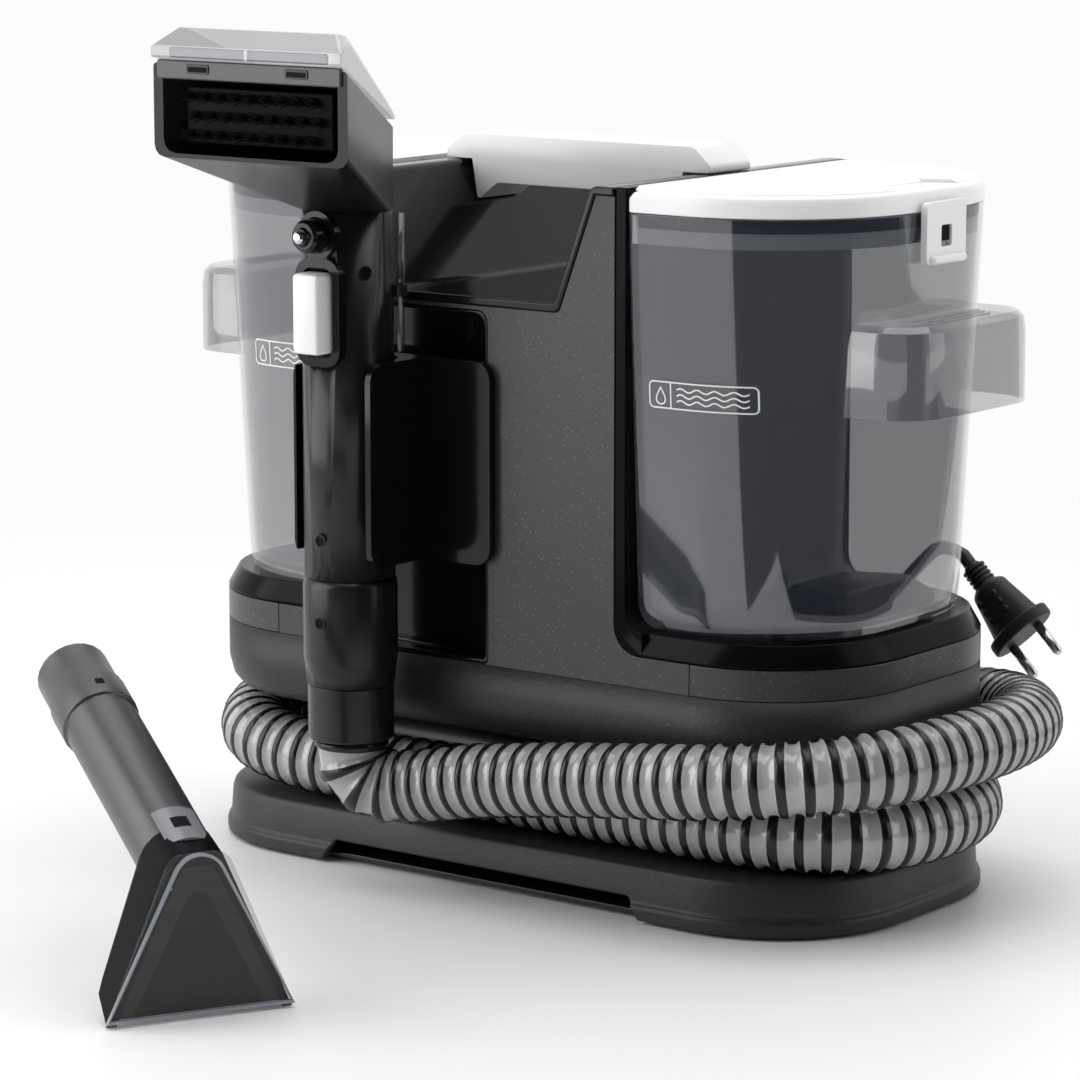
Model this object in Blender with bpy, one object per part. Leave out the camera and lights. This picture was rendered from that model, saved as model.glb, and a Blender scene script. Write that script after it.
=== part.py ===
"""Portable spot extractor: a cleaner with a water tank at each end, a hose wound round its base and a wand.

Metres, +Z up. The origin is the middle of the machine's base on the floor. +X runs to the clear-water
tank, -Y is the front, where the wand is docked. Every solid is one closed body, and neighbours keep GAP.
"""

import math

import bmesh
import bpy
from mathutils import Matrix, Vector

for old in list(bpy.data.objects):
    bpy.data.objects.remove(old, do_unlink=True)

# ---- driving dimensions ------------------------------------------------------------------------
GAP = 0.0003                    # clearance that touching pieces keep
BODY_LENGTH = 0.393             # along X, over the lower body
BODY_DEPTH = 0.192              # along Y, over the front and rear panels
BODY_CORNER = 0.070             # plan radius of the body's four corners
WALL = 0.003                    # moulded casing wall
CORNER_STEPS = 11

BASE_FLARE = 0.0020             # how far the base's foot rim stands out of the body's outline
RIM_Z = 0.0010                  # underside of the base's rim
COVER_Z = 0.0020                # underside of the bottom cover
COVER_THICKNESS = 0.0024
PAD_HALF_LENGTH = 0.0300        # moulded pad under the middle of the bottom cover
PAD_HALF_DEPTH = 0.0200
FOOT_RADIUS = 0.0120
DECK_Z = 0.0275                 # top of the base, floor of the hose channel
CHANNEL_TOP = 0.0773            # underside of the lower body, roof of the hose channel
BAND_Z = 0.1130                 # top of the lower body, where the speckled casing starts
SHOULDER_Z = 0.1280             # underside of the tank seats
SEAT_Z = 0.1388                 # top of the tank seats
SEAT_CHAMFER = 0.0055
COLUMN_HALF = 0.0816            # half the centre column's width along X
PANEL_CORNER = 0.0143           # fillet where the panel runs under the tank seat

FRAME_THICKNESS = 0.0063        # bulkhead beside each tank
TANK_TOP = 0.3356
COLUMN_TOP = TANK_TOP + 0.0070
SADDLE_TOP = TANK_TOP + 0.0114
TANK_HALF_LENGTH = 0.1970       # from the origin to the tank's end, at its top
TANK_HALF_DEPTH = 0.0975
TANK_CORNER = 0.0780
TANK_WALL = 0.0023
TANK_TAPER = 0.0090             # how much narrower the tank is at its foot, on each outer side
LID_RISE = 0.0106
GRIP_HALF_WIDTH = 0.0560
GRIP_REACH = 0.2225             # from the origin to the grip's outer face
GRIP_TOP = TANK_TOP - 0.0486
GRIP_DROP = 0.0430
LATCH_HALF_WIDTH = 0.0170
LATCH_HEIGHT = 0.0290
LATCH_THICKNESS = 0.0035

POCKET_FLOOR = TANK_TOP - 0.0494 # underside of the saddle's trough at the panels
POCKET_HALF_BOTTOM = 0.0495
POCKET_HALF_TOP = 0.0709
HANDLE_HALF_LENGTH = 0.0800
HANDLE_HALF_DEPTH = 0.0170
HANDLE_TOP = TANK_TOP + 0.0244
HANDLE_BOTTOM = TANK_TOP + 0.0004

WAND_X = -0.0545                # axis of the docked wand
GRIP_RADIUS = 0.0220
WAND_STANDOFF = 0.0070          # between the front panel and the docked grip
WAND_Y = -(BODY_DEPTH / 2 + WAND_STANDOFF + GRIP_RADIUS)
COLLAR_RADIUS = GRIP_RADIUS + 0.0010
CUFF_RADIUS = GRIP_RADIUS - 0.0010
HOSE_DIAMETER = 0.0365
WAND_BORE = HOSE_DIAMETER / 2 - 0.00075
CUFF_Z = 0.0746                 # lower end of the hose cuff
COLLAR_Z = 0.1020
GRIP_Z = 0.1546
NECK_Z = 0.3314                 # seam between the grip and the head
HEAD_Z = 0.3700                 # top of the head's neck
MOUTH_Y = -0.1950
MOUTH_HALF_WIDTH = 0.0590
MOUTH_LOW = 0.3580
MOUTH_HIGH = 0.4020
LIP_TOP = 0.4185
TRIGGER_LOW = 0.2645
TRIGGER_HIGH = 0.3030
TRIGGER_HALF_WIDTH = 0.0080
TRIGGER_PROUD = 0.0105          # how far the trigger stands out of the grip
TRIGGER_SWING = math.radians(5)

CORE_HALF_LENGTH = 0.1700       # the drum that the hose is wound round
CORE_HALF_DEPTH = 0.0510
CORE_CORNER = 0.0500

DOCK_LEFT = -0.0760
DOCK_RIGHT = 0.0070
DOCK_LOW = 0.1134
DOCK_HIGH = POCKET_FLOOR - 0.0022
DOCK_DEPTH = 0.0150
CLIP_LOW = 0.1620
CLIP_HIGH = 0.2600
CLIP_RIGHT = 0.0120
CLIP_ARM = 0.0036
CLIP_CORNER = 0.0090
CLIP_REACH = 0.0170             # how far the arms pass the wand's axis

MOTOR_Y = 0.0100
MOTOR_RADIUS = 0.0380
MOTOR_Z = 0.1360
FAN_Z = 0.1963
FAN_RADIUS = 0.0520
FAN_HEIGHT = 0.0297
SHAFT_RADIUS = 0.0035
RISER_X = -0.1225
RISER_RADIUS = 0.0150
VALVE_X = 0.1120
VALVE_STEM = 0.0040

CORD_DIAMETER = 0.0070
COIL_TURN_RADIUS = 0.0310       # of the innermost turn's centre line
COIL_STRAIGHT = 0.0450          # half the straight between the winding's round ends
COIL_Z = 0.2150
COIL_Y = 0.1020                 # the side of the winding next to the rear panel
COIL_LAYERS = 3
COIL_ROWS = 4
GLAND_X = -0.0660
GLAND_Z = 0.1500
GLAND_LENGTH = 0.0220
PLUG_START = Vector((0.1460, 0.1180, 0.1460))
PLUG_AXIS = Vector((1.0, 0.0, -1.0)).normalized()
PLUG_LENGTH = 0.0450
PIN_LENGTH = 0.0190
PIN_RADIUS = 0.0024
PIN_SPACING = 0.0190

TOOL_ORIGIN = Vector((0.0390, -0.3400, 0.0))    # middle of the spare tool's front lip
TOOL_ANGLE = math.radians(62)   # direction of its mouth's width, from +X
TOOL_HALF_WIDTH = 0.0440
TOOL_HEAD_HEIGHT = 0.0740
TOOL_TUBE_RADIUS = 0.0172
TOOL_TUBE_LENGTH = 0.1500
TOOL_TUBE_RISE = math.radians(22)

HALF_LENGTH = BODY_LENGTH / 2
HALF_DEPTH = BODY_DEPTH / 2
BUTTON_X = 0.0660
BUTTON_Z = 0.2400
BUTTON_RADIUS = 0.0090
SPRAY_Z = 0.3205
PANEL_REACH = 0.1250            # half the length of the panels' feet
FLOAT_REST = 0.0330
FLOAT_HEIGHT = 0.0300
FLOAT_RADIUS = 0.0270
LIP_INSET = 0.0100              # how far the clear lip stops short of the mouth, each side
LIP_ROUND = 0.0040


# ---- finishes ----------------------------------------------------------------------------------
def finish(name, colour, roughness, metallic=0.0, alpha=1.0):
    """A Principled material with one plain colour."""
    made = bpy.data.materials.new(name)
    made.use_nodes = True
    shader = made.node_tree.nodes["Principled BSDF"]
    shader.inputs["Base Color"].default_value = (*colour, 1.0)
    shader.inputs["Roughness"].default_value = roughness
    shader.inputs["Metallic"].default_value = metallic
    shader.inputs["Alpha"].default_value = alpha
    made.diffuse_color = (*colour, alpha)
    return made


SPECKLED = finish("speckled_casing", (0.055, 0.056, 0.059), 0.5)
GRAINED = finish("grained_casing", (0.030, 0.031, 0.033), 0.55)
GLOSS_BLACK = finish("gloss_black", (0.010, 0.010, 0.011), 0.18)
SATIN_BLACK = finish("satin_black", (0.014, 0.014, 0.015), 0.38)
WHITE = finish("white_plastic", (0.86, 0.86, 0.86), 0.30)
SMOKED = finish("smoked_tank", (0.30, 0.34, 0.40), 0.08, alpha=0.35)
CLEAR = finish("clear_plastic", (0.72, 0.78, 0.84), 0.06, alpha=0.35)
RUBBER = finish("black_rubber", (0.016, 0.016, 0.016), 0.75)
HOSE = finish("ribbed_hose", (0.45, 0.45, 0.45), 0.35)
CORD = finish("cord_sheath", (0.015, 0.015, 0.016), 0.5)
STEEL = finish("plated_steel", (0.62, 0.62, 0.64), 0.22, metallic=1.0)
MOTOR = finish("motor_casing", (0.20, 0.20, 0.21), 0.45, metallic=0.6)


# ---- shape tools -------------------------------------------------------------------------------
def add_mesh(name, shape, look, smooth=True):
    """Turns a bmesh into a named object with outward faces and one material."""
    bmesh.ops.remove_doubles(shape, verts=shape.verts, dist=1e-6)
    bmesh.ops.recalc_face_normals(shape, faces=shape.faces)
    mesh = bpy.data.meshes.new(name)
    shape.to_mesh(mesh)
    shape.free()
    mesh.materials.append(look)
    if smooth:
        mesh.shade_smooth()
        mesh.set_sharp_from_angle(angle=math.radians(35))
    made = bpy.data.objects.new(name, mesh)
    bpy.context.scene.collection.objects.link(made)
    return made


def loft(name, loops, look, ring=False):
    """Skins a row of loops with the same number of points; the ends are capped, or joined if it is a ring."""
    shape = bmesh.new()
    rows = [[shape.verts.new(point) for point in loop] for loop in loops]
    pairs = list(zip(rows, rows[1:]))
    if ring:
        pairs.append((rows[-1], rows[0]))
    for low, high in pairs:
        for here in range(len(low)):
            after = (here + 1) % len(low)
            shape.faces.new((low[here], low[after], high[after], high[here]))
    if not ring:
        shape.faces.new(rows[0])
        shape.faces.new(rows[-1])
    return add_mesh(name, shape, look)


def rounded(corners, steps=CORNER_STEPS):
    """Rounds a polygon: corners are (x, y, radius), convex or not, listed in order."""
    outline = []
    for index, (x, y, radius) in enumerate(corners):
        here = Vector((x, y))
        if radius <= 0:
            outline.append(here)
            continue
        back = (Vector(corners[index - 1][:2]) - here).normalized()
        ahead = (Vector(corners[(index + 1) % len(corners)][:2]) - here).normalized()
        half = math.acos(max(-1.0, min(1.0, back.dot(ahead)))) / 2
        centre = here + (back + ahead).normalized() * (radius / math.sin(half))
        first = here + back * (radius / math.tan(half)) - centre
        last = here + ahead * (radius / math.tan(half)) - centre
        turn = first.angle_signed(last)
        for step in range(steps + 1):
            outline.append(centre + Matrix.Rotation(-turn * step / steps, 2) @ first)
    return outline


def oblong(x_low, x_high, y_low, y_high, radii, steps=CORNER_STEPS):
    """A rectangle's outline, with its corner radii from the front right one anticlockwise."""
    places = ((x_high, y_low), (x_high, y_high), (x_low, y_high), (x_low, y_low))
    return rounded([(x, y, radius) for (x, y), radius in zip(places, radii)], steps)


def body_plan(inset=0.0):
    """The casing's outline seen from above, drawn in by an inset."""
    half_x = HALF_LENGTH - inset
    half_y = HALF_DEPTH - inset
    radius = max(BODY_CORNER - inset, 0.002)
    return oblong(-half_x, half_x, -half_y, half_y, [radius] * 4)


def tank_plan(outer_inset=0.0, inner_inset=0.0):
    """A tank's outline on the +X side: two large corners outside and two small ones by the bulkhead."""
    inner_x = COLUMN_HALF + GAP + FRAME_THICKNESS + 2 * GAP + inner_inset
    outer_x = TANK_HALF_LENGTH - outer_inset
    half_y = TANK_HALF_DEPTH - outer_inset
    large = TANK_CORNER - outer_inset
    return oblong(inner_x, outer_x, -half_y, half_y, (large, large, 0.004, 0.004))


def flat(outline, z, side=1):
    return [Vector((side * point.x, point.y, z)) for point in outline]


def upright(outline, y):
    """An outline drawn in X and Z, stood up at a depth y."""
    return [Vector((point.x, y, point.y)) for point in outline]


def slab(name, outline, z_low, z_high, look):
    return loft(name, [flat(outline, z_low), flat(outline, z_high)], look)


def plate(name, outline, y_front, y_back, look):
    return loft(name, [upright(outline, y_front), upright(outline, y_back)], look)


def block(name, low, high, look, bevel=0.0):
    """A box between two corners, with its edges rounded over."""
    shape = bmesh.new()
    bmesh.ops.create_cube(shape, size=1.0)
    size = Vector(high) - Vector(low)
    middle = (Vector(high) + Vector(low)) / 2
    bmesh.ops.scale(shape, vec=size, verts=shape.verts)
    bmesh.ops.translate(shape, vec=middle, verts=shape.verts)
    if bevel:
        bmesh.ops.bevel(shape, geom=shape.edges[:], offset=bevel, segments=2, profile=0.6, affect="EDGES")
    return add_mesh(name, shape, look)


def circle(centre, axis, radius, count=24):
    """A ring of points square to an axis."""
    turn = Vector((0, 0, 1)).rotation_difference(Vector(axis).normalized())
    points = []
    for step in range(count):
        angle = 2 * math.pi * step / count
        points.append(Vector(centre) + turn @ Vector((radius * math.cos(angle), radius * math.sin(angle), 0)))
    return points


def turned(name, profile, centre, axis, look, ring=False, count=24):
    """A turned piece: profile is (radius, distance along the axis) from the centre."""
    direction = Vector(axis).normalized()
    loops = [circle(Vector(centre) + direction * along, axis, radius, count) for radius, along in profile]
    return loft(name, loops, look, ring)


def smooth_path(points, spacing):
    """Points at even steps along a centripetal Catmull-Rom curve through a route's points."""
    route = [Vector(point) for point in points]
    route = [2 * route[0] - route[1]] + route + [2 * route[-1] - route[-2]]
    fine = []
    for a, b, c, d in zip(route, route[1:], route[2:], route[3:]):
        t1 = (b - a).length ** 0.5
        t2 = t1 + (c - b).length ** 0.5
        t3 = t2 + (d - c).length ** 0.5
        for step in range(24):
            t = t1 + (t2 - t1) * step / 24
            a1 = a * ((t1 - t) / t1) + b * (t / t1)
            a2 = b * ((t2 - t) / (t2 - t1)) + c * ((t - t1) / (t2 - t1))
            a3 = c * ((t3 - t) / (t3 - t2)) + d * ((t - t2) / (t3 - t2))
            b1 = a1 * ((t2 - t) / t2) + a2 * (t / t2)
            b2 = a2 * ((t3 - t) / (t3 - t1)) + a3 * ((t - t1) / (t3 - t1))
            fine.append(b1 * ((t2 - t) / (t2 - t1)) + b2 * ((t - t1) / (t2 - t1)))
    fine.append(route[-2])
    lengths = [0.0]
    for a, b in zip(fine, fine[1:]):
        lengths.append(lengths[-1] + (b - a).length)
    count = max(2, round(lengths[-1] / spacing))
    even = []
    index = 0
    for step in range(count + 1):
        target = lengths[-1] * step / count
        while index < len(fine) - 2 and lengths[index + 1] < target:
            index += 1
        part = (target - lengths[index]) / max(lengths[index + 1] - lengths[index], 1e-9)
        even.append(fine[index].lerp(fine[index + 1], min(part, 1.0)))
    return even


def tube(name, points, diameter, look, resolution=3):
    """A solid round tube along a smooth route, as a bevelled curve with filled caps."""
    curve = bpy.data.curves.new(name, "CURVE")
    curve.dimensions = "3D"
    curve.bevel_depth = diameter / 2
    curve.bevel_resolution = resolution
    curve.use_fill_caps = True
    spline = curve.splines.new("POLY")
    spline.points.add(len(points) - 1)
    for point, place in zip(spline.points, points):
        point.co = (*place, 1.0)
    curve.materials.append(look)
    made = bpy.data.objects.new(name, curve)
    bpy.context.scene.collection.objects.link(made)
    return made


def pipe(name, points, radius, bore, look, count=16):
    """A hollow pipe along a route, open at both ends."""
    route = [Vector(point) for point in points]
    axes = []
    for index in range(len(route)):
        before = route[max(index - 1, 0)]
        after = route[min(index + 1, len(route) - 1)]
        axes.append((after - before).normalized())
    turn = Vector((0, 0, 1)).rotation_difference(axes[0]).to_matrix()
    frames = [turn]
    for a, b in zip(axes, axes[1:]):
        frames.append(a.rotation_difference(b).to_matrix() @ frames[-1])
    loops = []
    for size, order in ((radius, range(len(route))), (bore, reversed(range(len(route))))):
        for index in order:
            ring = []
            for step in range(count):
                angle = 2 * math.pi * step / count
                offset = Vector((size * math.cos(angle), size * math.sin(angle), 0))
                ring.append(route[index] + frames[index] @ offset)
            loops.append(ring)
    return loft(name, loops, look, ring=True)


def hull(name, points, look):
    """The tightest convex skin over a cloud of points."""
    shape = bmesh.new()
    for point in points:
        shape.verts.new(point)
    found = bmesh.ops.convex_hull(shape, input=shape.verts)
    inside = {item for item in found["geom_interior"] if isinstance(item, bmesh.types.BMVert)}
    bmesh.ops.delete(shape, geom=list(inside), context="VERTS")
    return add_mesh(name, shape, look)


def combine(target, tool, operation="DIFFERENCE"):
    """Cuts, joins or intersects with a helper, which stays hidden."""
    tool.hide_render = True
    tool.display_type = "WIRE"
    change = target.modifiers.new(tool.name, "BOOLEAN")
    change.operation = operation
    change.object = tool
    change.solver = "EXACT"
    return target


def soften(target, width, segments=2, limit=40):
    """Rounds the sharp edges of a piece."""
    bevel = target.modifiers.new("soft_edges", "BEVEL")
    bevel.width = width
    bevel.segments = segments
    bevel.limit_method = "ANGLE"
    bevel.angle_limit = math.radians(limit)
    bevel.harden_normals = False
    return target


# ---- base --------------------------------------------------------------------------------------
def build_base():
    """The base pan with its foot rim and front notch, the bottom cover with its pad, and four feet."""
    outer = ((DECK_Z, 0.0045), (DECK_Z - 0.0010, 0.0022), (DECK_Z - 0.0040, 0.0010))
    outer += ((0.0095, 0.0), (0.0075, -BASE_FLARE), (RIM_Z, -BASE_FLARE))
    inner = ((RIM_Z, WALL - 0.0010), (DECK_Z - WALL, 0.0050))
    pan = loft("base_pan", [flat(body_plan(inset), z) for z, inset in outer + inner], GRAINED)
    notch = [(-0.099, -0.002, 0), (0.099, -0.002, 0), (0.090, 0.0115, 0.002), (-0.090, 0.0115, 0.002)]
    front = -HALF_DEPTH
    combine(pan, plate("notch_cutter", rounded(notch, 3), front - 0.010, front + 0.009, GRAINED))
    cover = body_plan(0.0050 + GAP)
    bottom = slab("bottom_cover", cover, COVER_Z, COVER_Z + COVER_THICKNESS, SATIN_BLACK)
    low = (-PAD_HALF_LENGTH, -PAD_HALF_DEPTH, 0.0)
    high = (PAD_HALF_LENGTH, PAD_HALF_DEPTH, COVER_Z + COVER_THICKNESS / 2)
    combine(bottom, block("centre_pad", low, high, SATIN_BLACK), "UNION")
    places = [(x, y) for x in (-0.140, 0.140) for y in (-0.062, 0.062)]
    for number, (x, y) in enumerate(places, 1):
        foot = ((FOOT_RADIUS - 0.0006, 0.0), (FOOT_RADIUS, 0.0006), (FOOT_RADIUS, COVER_Z - GAP))
        turned(f"foot_{number}", foot, (x, y, 0), (0, 0, 1), RUBBER, count=20)


def build_channel():
    """The drum that the hose is wound round, and the port that takes the hose into the machine."""
    outer = oblong(-CORE_HALF_LENGTH, CORE_HALF_LENGTH, -CORE_HALF_DEPTH, CORE_HALF_DEPTH, [CORE_CORNER] * 4)
    half_x = CORE_HALF_LENGTH - WALL
    half_y = CORE_HALF_DEPTH - WALL
    inner = oblong(-half_x, half_x, -half_y, half_y, [CORE_CORNER - WALL] * 4)
    low = DECK_Z + GAP
    high = CHANNEL_TOP - GAP
    loops = [flat(outer, low), flat(outer, high), flat(inner, high), flat(inner, low)]
    drum = loft("hose_drum", loops, SATIN_BLACK, ring=True)
    end = HOSE_ROUTE[-1]
    port_x = end[0] - 0.036
    hole = turned("port_hole", ((0.0150, 0.0), (0.0150, 0.030)), (port_x, CORE_HALF_DEPTH - 0.015, end[2]),
                  (0, 1, 0), SATIN_BLACK, count=20)
    combine(drum, hole)
    start = CORE_HALF_DEPTH + GAP
    elbow = [(end[0] - GAP, end[1], end[2]), (end[0] - 0.010, end[1], end[2])]
    turn = end[1] - start - 0.0040
    for step in range(1, 6):
        angle = math.radians(18 * step)
        elbow.append((end[0] - 0.010 - 0.026 * math.sin(angle), end[1] - turn * (1 - math.cos(angle)), end[2]))
    elbow.append((port_x, start, end[2]))
    pipe("hose_port", elbow, 0.0170, 0.0140, SATIN_BLACK, count=20)


# ---- body --------------------------------------------------------------------------------------
def build_lower_body():
    """The grained tub above the hose, and the speckled band between it and the tank seats."""
    opening = oblong(-0.150, 0.150, -0.035, 0.035, [0.030] * 4)
    z = CHANNEL_TOP
    outer = ((z, 0.0100), (z + 0.0022, 0.0055), (z + 0.0067, 0.0020), (z + 0.0147, 0.0), (BAND_Z - GAP, 0.0))
    inner = ((BAND_Z - GAP, WALL), (z + WALL, 0.0085))
    loops = [flat(body_plan(inset), height) for height, inset in outer + inner]
    loops += [flat(opening, z + WALL), flat(opening, z)]
    loft("lower_body", loops, GRAINED, ring=True)

    inset = WALL + GAP
    step_x = PANEL_REACH + GAP
    corner_x = HALF_LENGTH - BODY_CORNER
    out = []
    for sx, sy in ((1, -1), (1, 1), (-1, 1), (-1, -1)):
        arc = []
        for step in range(CORNER_STEPS + 1):
            angle = math.radians(90) * step / CORNER_STEPS
            x = corner_x + BODY_CORNER * math.sin(angle)
            y = HALF_DEPTH - BODY_CORNER + BODY_CORNER * math.cos(angle)
            arc.append(Vector((sx * x, sy * y)))
        edge = [Vector((sx * step_x, sy * (HALF_DEPTH - inset))), Vector((sx * step_x, sy * HALF_DEPTH))]
        run = edge + arc
        out += run if sx * sy < 0 else run[::-1]
    inner = body_plan(inset + WALL)
    band = slab("waist_band", out, BAND_Z, SHOULDER_Z - GAP, SPECKLED)
    combine(band, slab("band_core", inner, BAND_Z - 0.01, SHOULDER_Z + 0.01, SPECKLED))
    low = (DOCK_LEFT - 2 * GAP, -HALF_DEPTH - 0.01, BAND_Z - 0.01)
    high = (DOCK_RIGHT + 2 * GAP, -HALF_DEPTH + DOCK_DEPTH + 0.01, SHOULDER_Z + 0.01)
    combine(band, block("band_gap", low, high, SPECKLED))


def panel_outline():
    """The front and rear panels: a column with feet that run under the seats, and the hand pocket."""
    column = COLUMN_HALF
    foot_z = SHOULDER_Z - GAP
    side = [(PANEL_REACH, BAND_Z, 0), (PANEL_REACH, foot_z, 0), (column, foot_z, PANEL_CORNER)]
    side += [(column, COLUMN_TOP, 0), (POCKET_HALF_TOP, COLUMN_TOP, 0)]
    side += [(POCKET_HALF_BOTTOM, POCKET_FLOOR, 0.004)]
    mirrored = [(-x, z, radius) for x, z, radius in reversed(side)]
    return rounded(side + mirrored, 5)


def build_panels():
    """The speckled front and rear panels of the centre column."""
    front = -HALF_DEPTH
    panel = plate("front_panel", panel_outline(), front, front + WALL, SPECKLED)
    room = dock_outline(-GAP)
    combine(panel, plate("dock_cutter", room, front - 0.01, front + 0.01, SPECKLED))
    back = plate("rear_panel", panel_outline(), HALF_DEPTH - WALL, HALF_DEPTH, SPECKLED)
    hole = ((BUTTON_RADIUS + 2 * GAP, -0.01), (BUTTON_RADIUS + 2 * GAP, 0.01))
    combine(back, turned("button_hole", hole, (BUTTON_X, HALF_DEPTH, BUTTON_Z), (0, 1, 0), SPECKLED))


def build_saddle():
    """The black trough between the panels that makes the hand pocket, with an arm beside each lid."""
    lean = (POCKET_HALF_TOP - POCKET_HALF_BOTTOM) / (COLUMN_TOP - POCKET_FLOOR)
    floor = POCKET_FLOOR + 0.0045
    wall = 0.0036
    bottom = POCKET_HALF_BOTTOM - GAP
    under = COLUMN_TOP + GAP
    arm = bottom + (under - POCKET_FLOOR) * lean
    rise = SADDLE_TOP - POCKET_FLOOR
    inside_top = bottom + rise * lean - wall
    inside_low = bottom + (floor - POCKET_FLOOR) * lean - wall
    right = [(bottom, POCKET_FLOOR + GAP, 0.0040), (arm, under, 0), (COLUMN_HALF, under, 0)]
    right += [(COLUMN_HALF, SADDLE_TOP, 0.001), (inside_top, SADDLE_TOP, 0.0045), (inside_low, floor, 0.004)]
    left = [(-x, z, radius) for x, z, radius in reversed(right)]
    edge = HALF_DEPTH + 0.0012
    plate("saddle", rounded(right + left, 4), -edge, edge, GLOSS_BLACK)
    return lean, inside_low, floor


def build_handle(lean, inside_low, floor):
    """The white carry handle, with a wedge at each end that stands on the saddle's sloping wall."""
    top = SADDLE_TOP + GAP

    def wall_x(z):
        return inside_low + (z - floor) * lean - 2 * GAP

    toe = HANDLE_BOTTOM - 0.0080
    right = [(0.0480, HANDLE_BOTTOM, 0.003), (wall_x(toe) - 0.0020, toe, 0.0006), (wall_x(toe), toe, 0)]
    right += [(wall_x(top) - 0.0040, top, 0), (HANDLE_HALF_LENGTH, top, 0.001)]
    right += [(HANDLE_HALF_LENGTH, top + 0.0040, 0.003), (HANDLE_HALF_LENGTH - 0.010, HANDLE_TOP, 0.006)]
    left = [(-x, z, radius) for x, z, radius in reversed(right)]
    outline = rounded(right + left, 3)
    handle = plate("carry_handle", outline, -HANDLE_HALF_DEPTH, HANDLE_HALF_DEPTH, WHITE)
    soften(handle, 0.0030, 2, 60)


def build_seat(side, name):
    """A gloss black tank seat: a tray with a chamfered shoulder, and the bulkhead beside the tank."""
    inner = COLUMN_HALF + GAP
    face = inner + FRAME_THICKNESS
    profile = [(inner, SHOULDER_Z, PANEL_CORNER - GAP), (HALF_LENGTH, SHOULDER_Z, 0)]
    profile += [(HALF_LENGTH, SEAT_Z, 0), (face, SEAT_Z, 0.011), (face, SADDLE_TOP, 0), (inner, SADDLE_TOP, 0)]
    outline = [Vector((side * point.x, point.y)) for point in rounded(profile, 5)]
    edge = HALF_DEPTH - GAP
    seat = plate(name, outline, -edge, edge, GLOSS_BLACK)
    corner_r = BODY_CORNER
    plan = oblong(inner - 0.02, HALF_LENGTH, -HALF_DEPTH, HALF_DEPTH, (corner_r, corner_r, 0.002, 0.002))
    keep = loft(f"{name}_plan", [flat(plan, 0.1, side), flat(plan, 0.4, side)], GLOSS_BLACK)
    combine(seat, keep, "INTERSECT")
    start = face + 0.010
    low = (min(side * start, side * 0.25), -0.12, SHOULDER_Z + 0.0012)
    high = (max(side * start, side * 0.25), 0.12, SEAT_Z + 0.003)
    waste = block(f"{name}_chamfer", low, high, GLOSS_BLACK)
    slope = SEAT_CHAMFER / (SEAT_Z - SHOULDER_Z - 0.0012)
    loops = []
    for z, inset in ((SHOULDER_Z - 0.01, 0.0), (SHOULDER_Z + 0.0012, 0.0), (SEAT_Z + 0.006, None)):
        draw_in = (z - SHOULDER_Z - 0.0012) * slope if inset is None else inset
        radius = BODY_CORNER - draw_in
        reach = HALF_LENGTH - draw_in
        half_y = HALF_DEPTH - draw_in
        loops.append(flat(oblong(0.02, reach, -half_y, half_y, (radius, radius, 0.002, 0.002)), z, side))
    combine(waste, loft(f"{name}_slope", loops, GLOSS_BLACK))
    combine(seat, waste)
    port_x = VALVE_X if side > 0 else RISER_X
    port_r = VALVE_STEM + 0.003 if side > 0 else RISER_RADIUS
    port = turned(f"{name}_port", ((port_r, 0.0), (port_r, 0.03)), (port_x, 0, 0.115), (0, 0, 1), GLOSS_BLACK)
    combine(seat, port)


# ---- wand dock ---------------------------------------------------------------------------------
def dock_outline(inset=0.0):
    left = DOCK_LEFT + inset
    right = DOCK_RIGHT - inset
    return oblong(left, right, DOCK_LOW + inset, DOCK_HIGH - inset, (0.0030, 0.0060, 0.0060, 0.0030), 3)


def build_dock():
    """The recess behind the wand, and the spring clip that holds the wand's grip."""
    front = -HALF_DEPTH
    floor = front + DOCK_DEPTH
    wall = 0.0020
    places = ((floor, 0.0), (front + GAP, 0.0), (front + GAP, wall), (floor - wall, wall))
    loft("dock_liner", [upright(dock_outline(inset), y) for y, inset in places], GLOSS_BLACK)

    hold = COLLAR_RADIUS + 2 * GAP
    rear = front - 2 * GAP
    step = rear - 0.0042
    tip = WAND_Y - CLIP_REACH
    left = DOCK_LEFT - 0.0040
    outer_r = WAND_X + hold + CLIP_ARM
    outer_l = WAND_X - hold - CLIP_ARM
    outline = [Vector((left, rear)), Vector((CLIP_RIGHT, rear)), Vector((CLIP_RIGHT, step))]
    outline += [Vector((outer_r, step)), Vector((outer_r, tip)), Vector((outer_r - CLIP_ARM + GAP, tip))]
    for part in range(13):
        angle = math.pi * part / 12
        outline.append(Vector((WAND_X + hold * math.cos(angle), WAND_Y + hold * math.sin(angle))))
    outline += [Vector((outer_l + CLIP_ARM - GAP, tip + 0.006)), Vector((outer_l, tip + 0.006))]
    outline += [Vector((outer_l, step)), Vector((left, step))]
    clip = slab("wand_clip", outline, CLIP_LOW, CLIP_HIGH, GLOSS_BLACK)
    corner = [CLIP_CORNER] * 4
    plan = oblong(left, CLIP_RIGHT, CLIP_LOW, CLIP_HIGH, corner, 6)
    combine(clip, plate("clip_face", plan, tip - 0.01, rear + 0.01, GLOSS_BLACK), "INTERSECT")
    side = oblong(tip, rear + 0.05, CLIP_LOW, CLIP_HIGH, corner, 6)
    loops = [[Vector((x, point.x, point.y)) for point in side] for x in (left - 0.01, CLIP_RIGHT + 0.01)]
    combine(clip, loft("clip_side", loops, GLOSS_BLACK), "INTERSECT")


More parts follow.
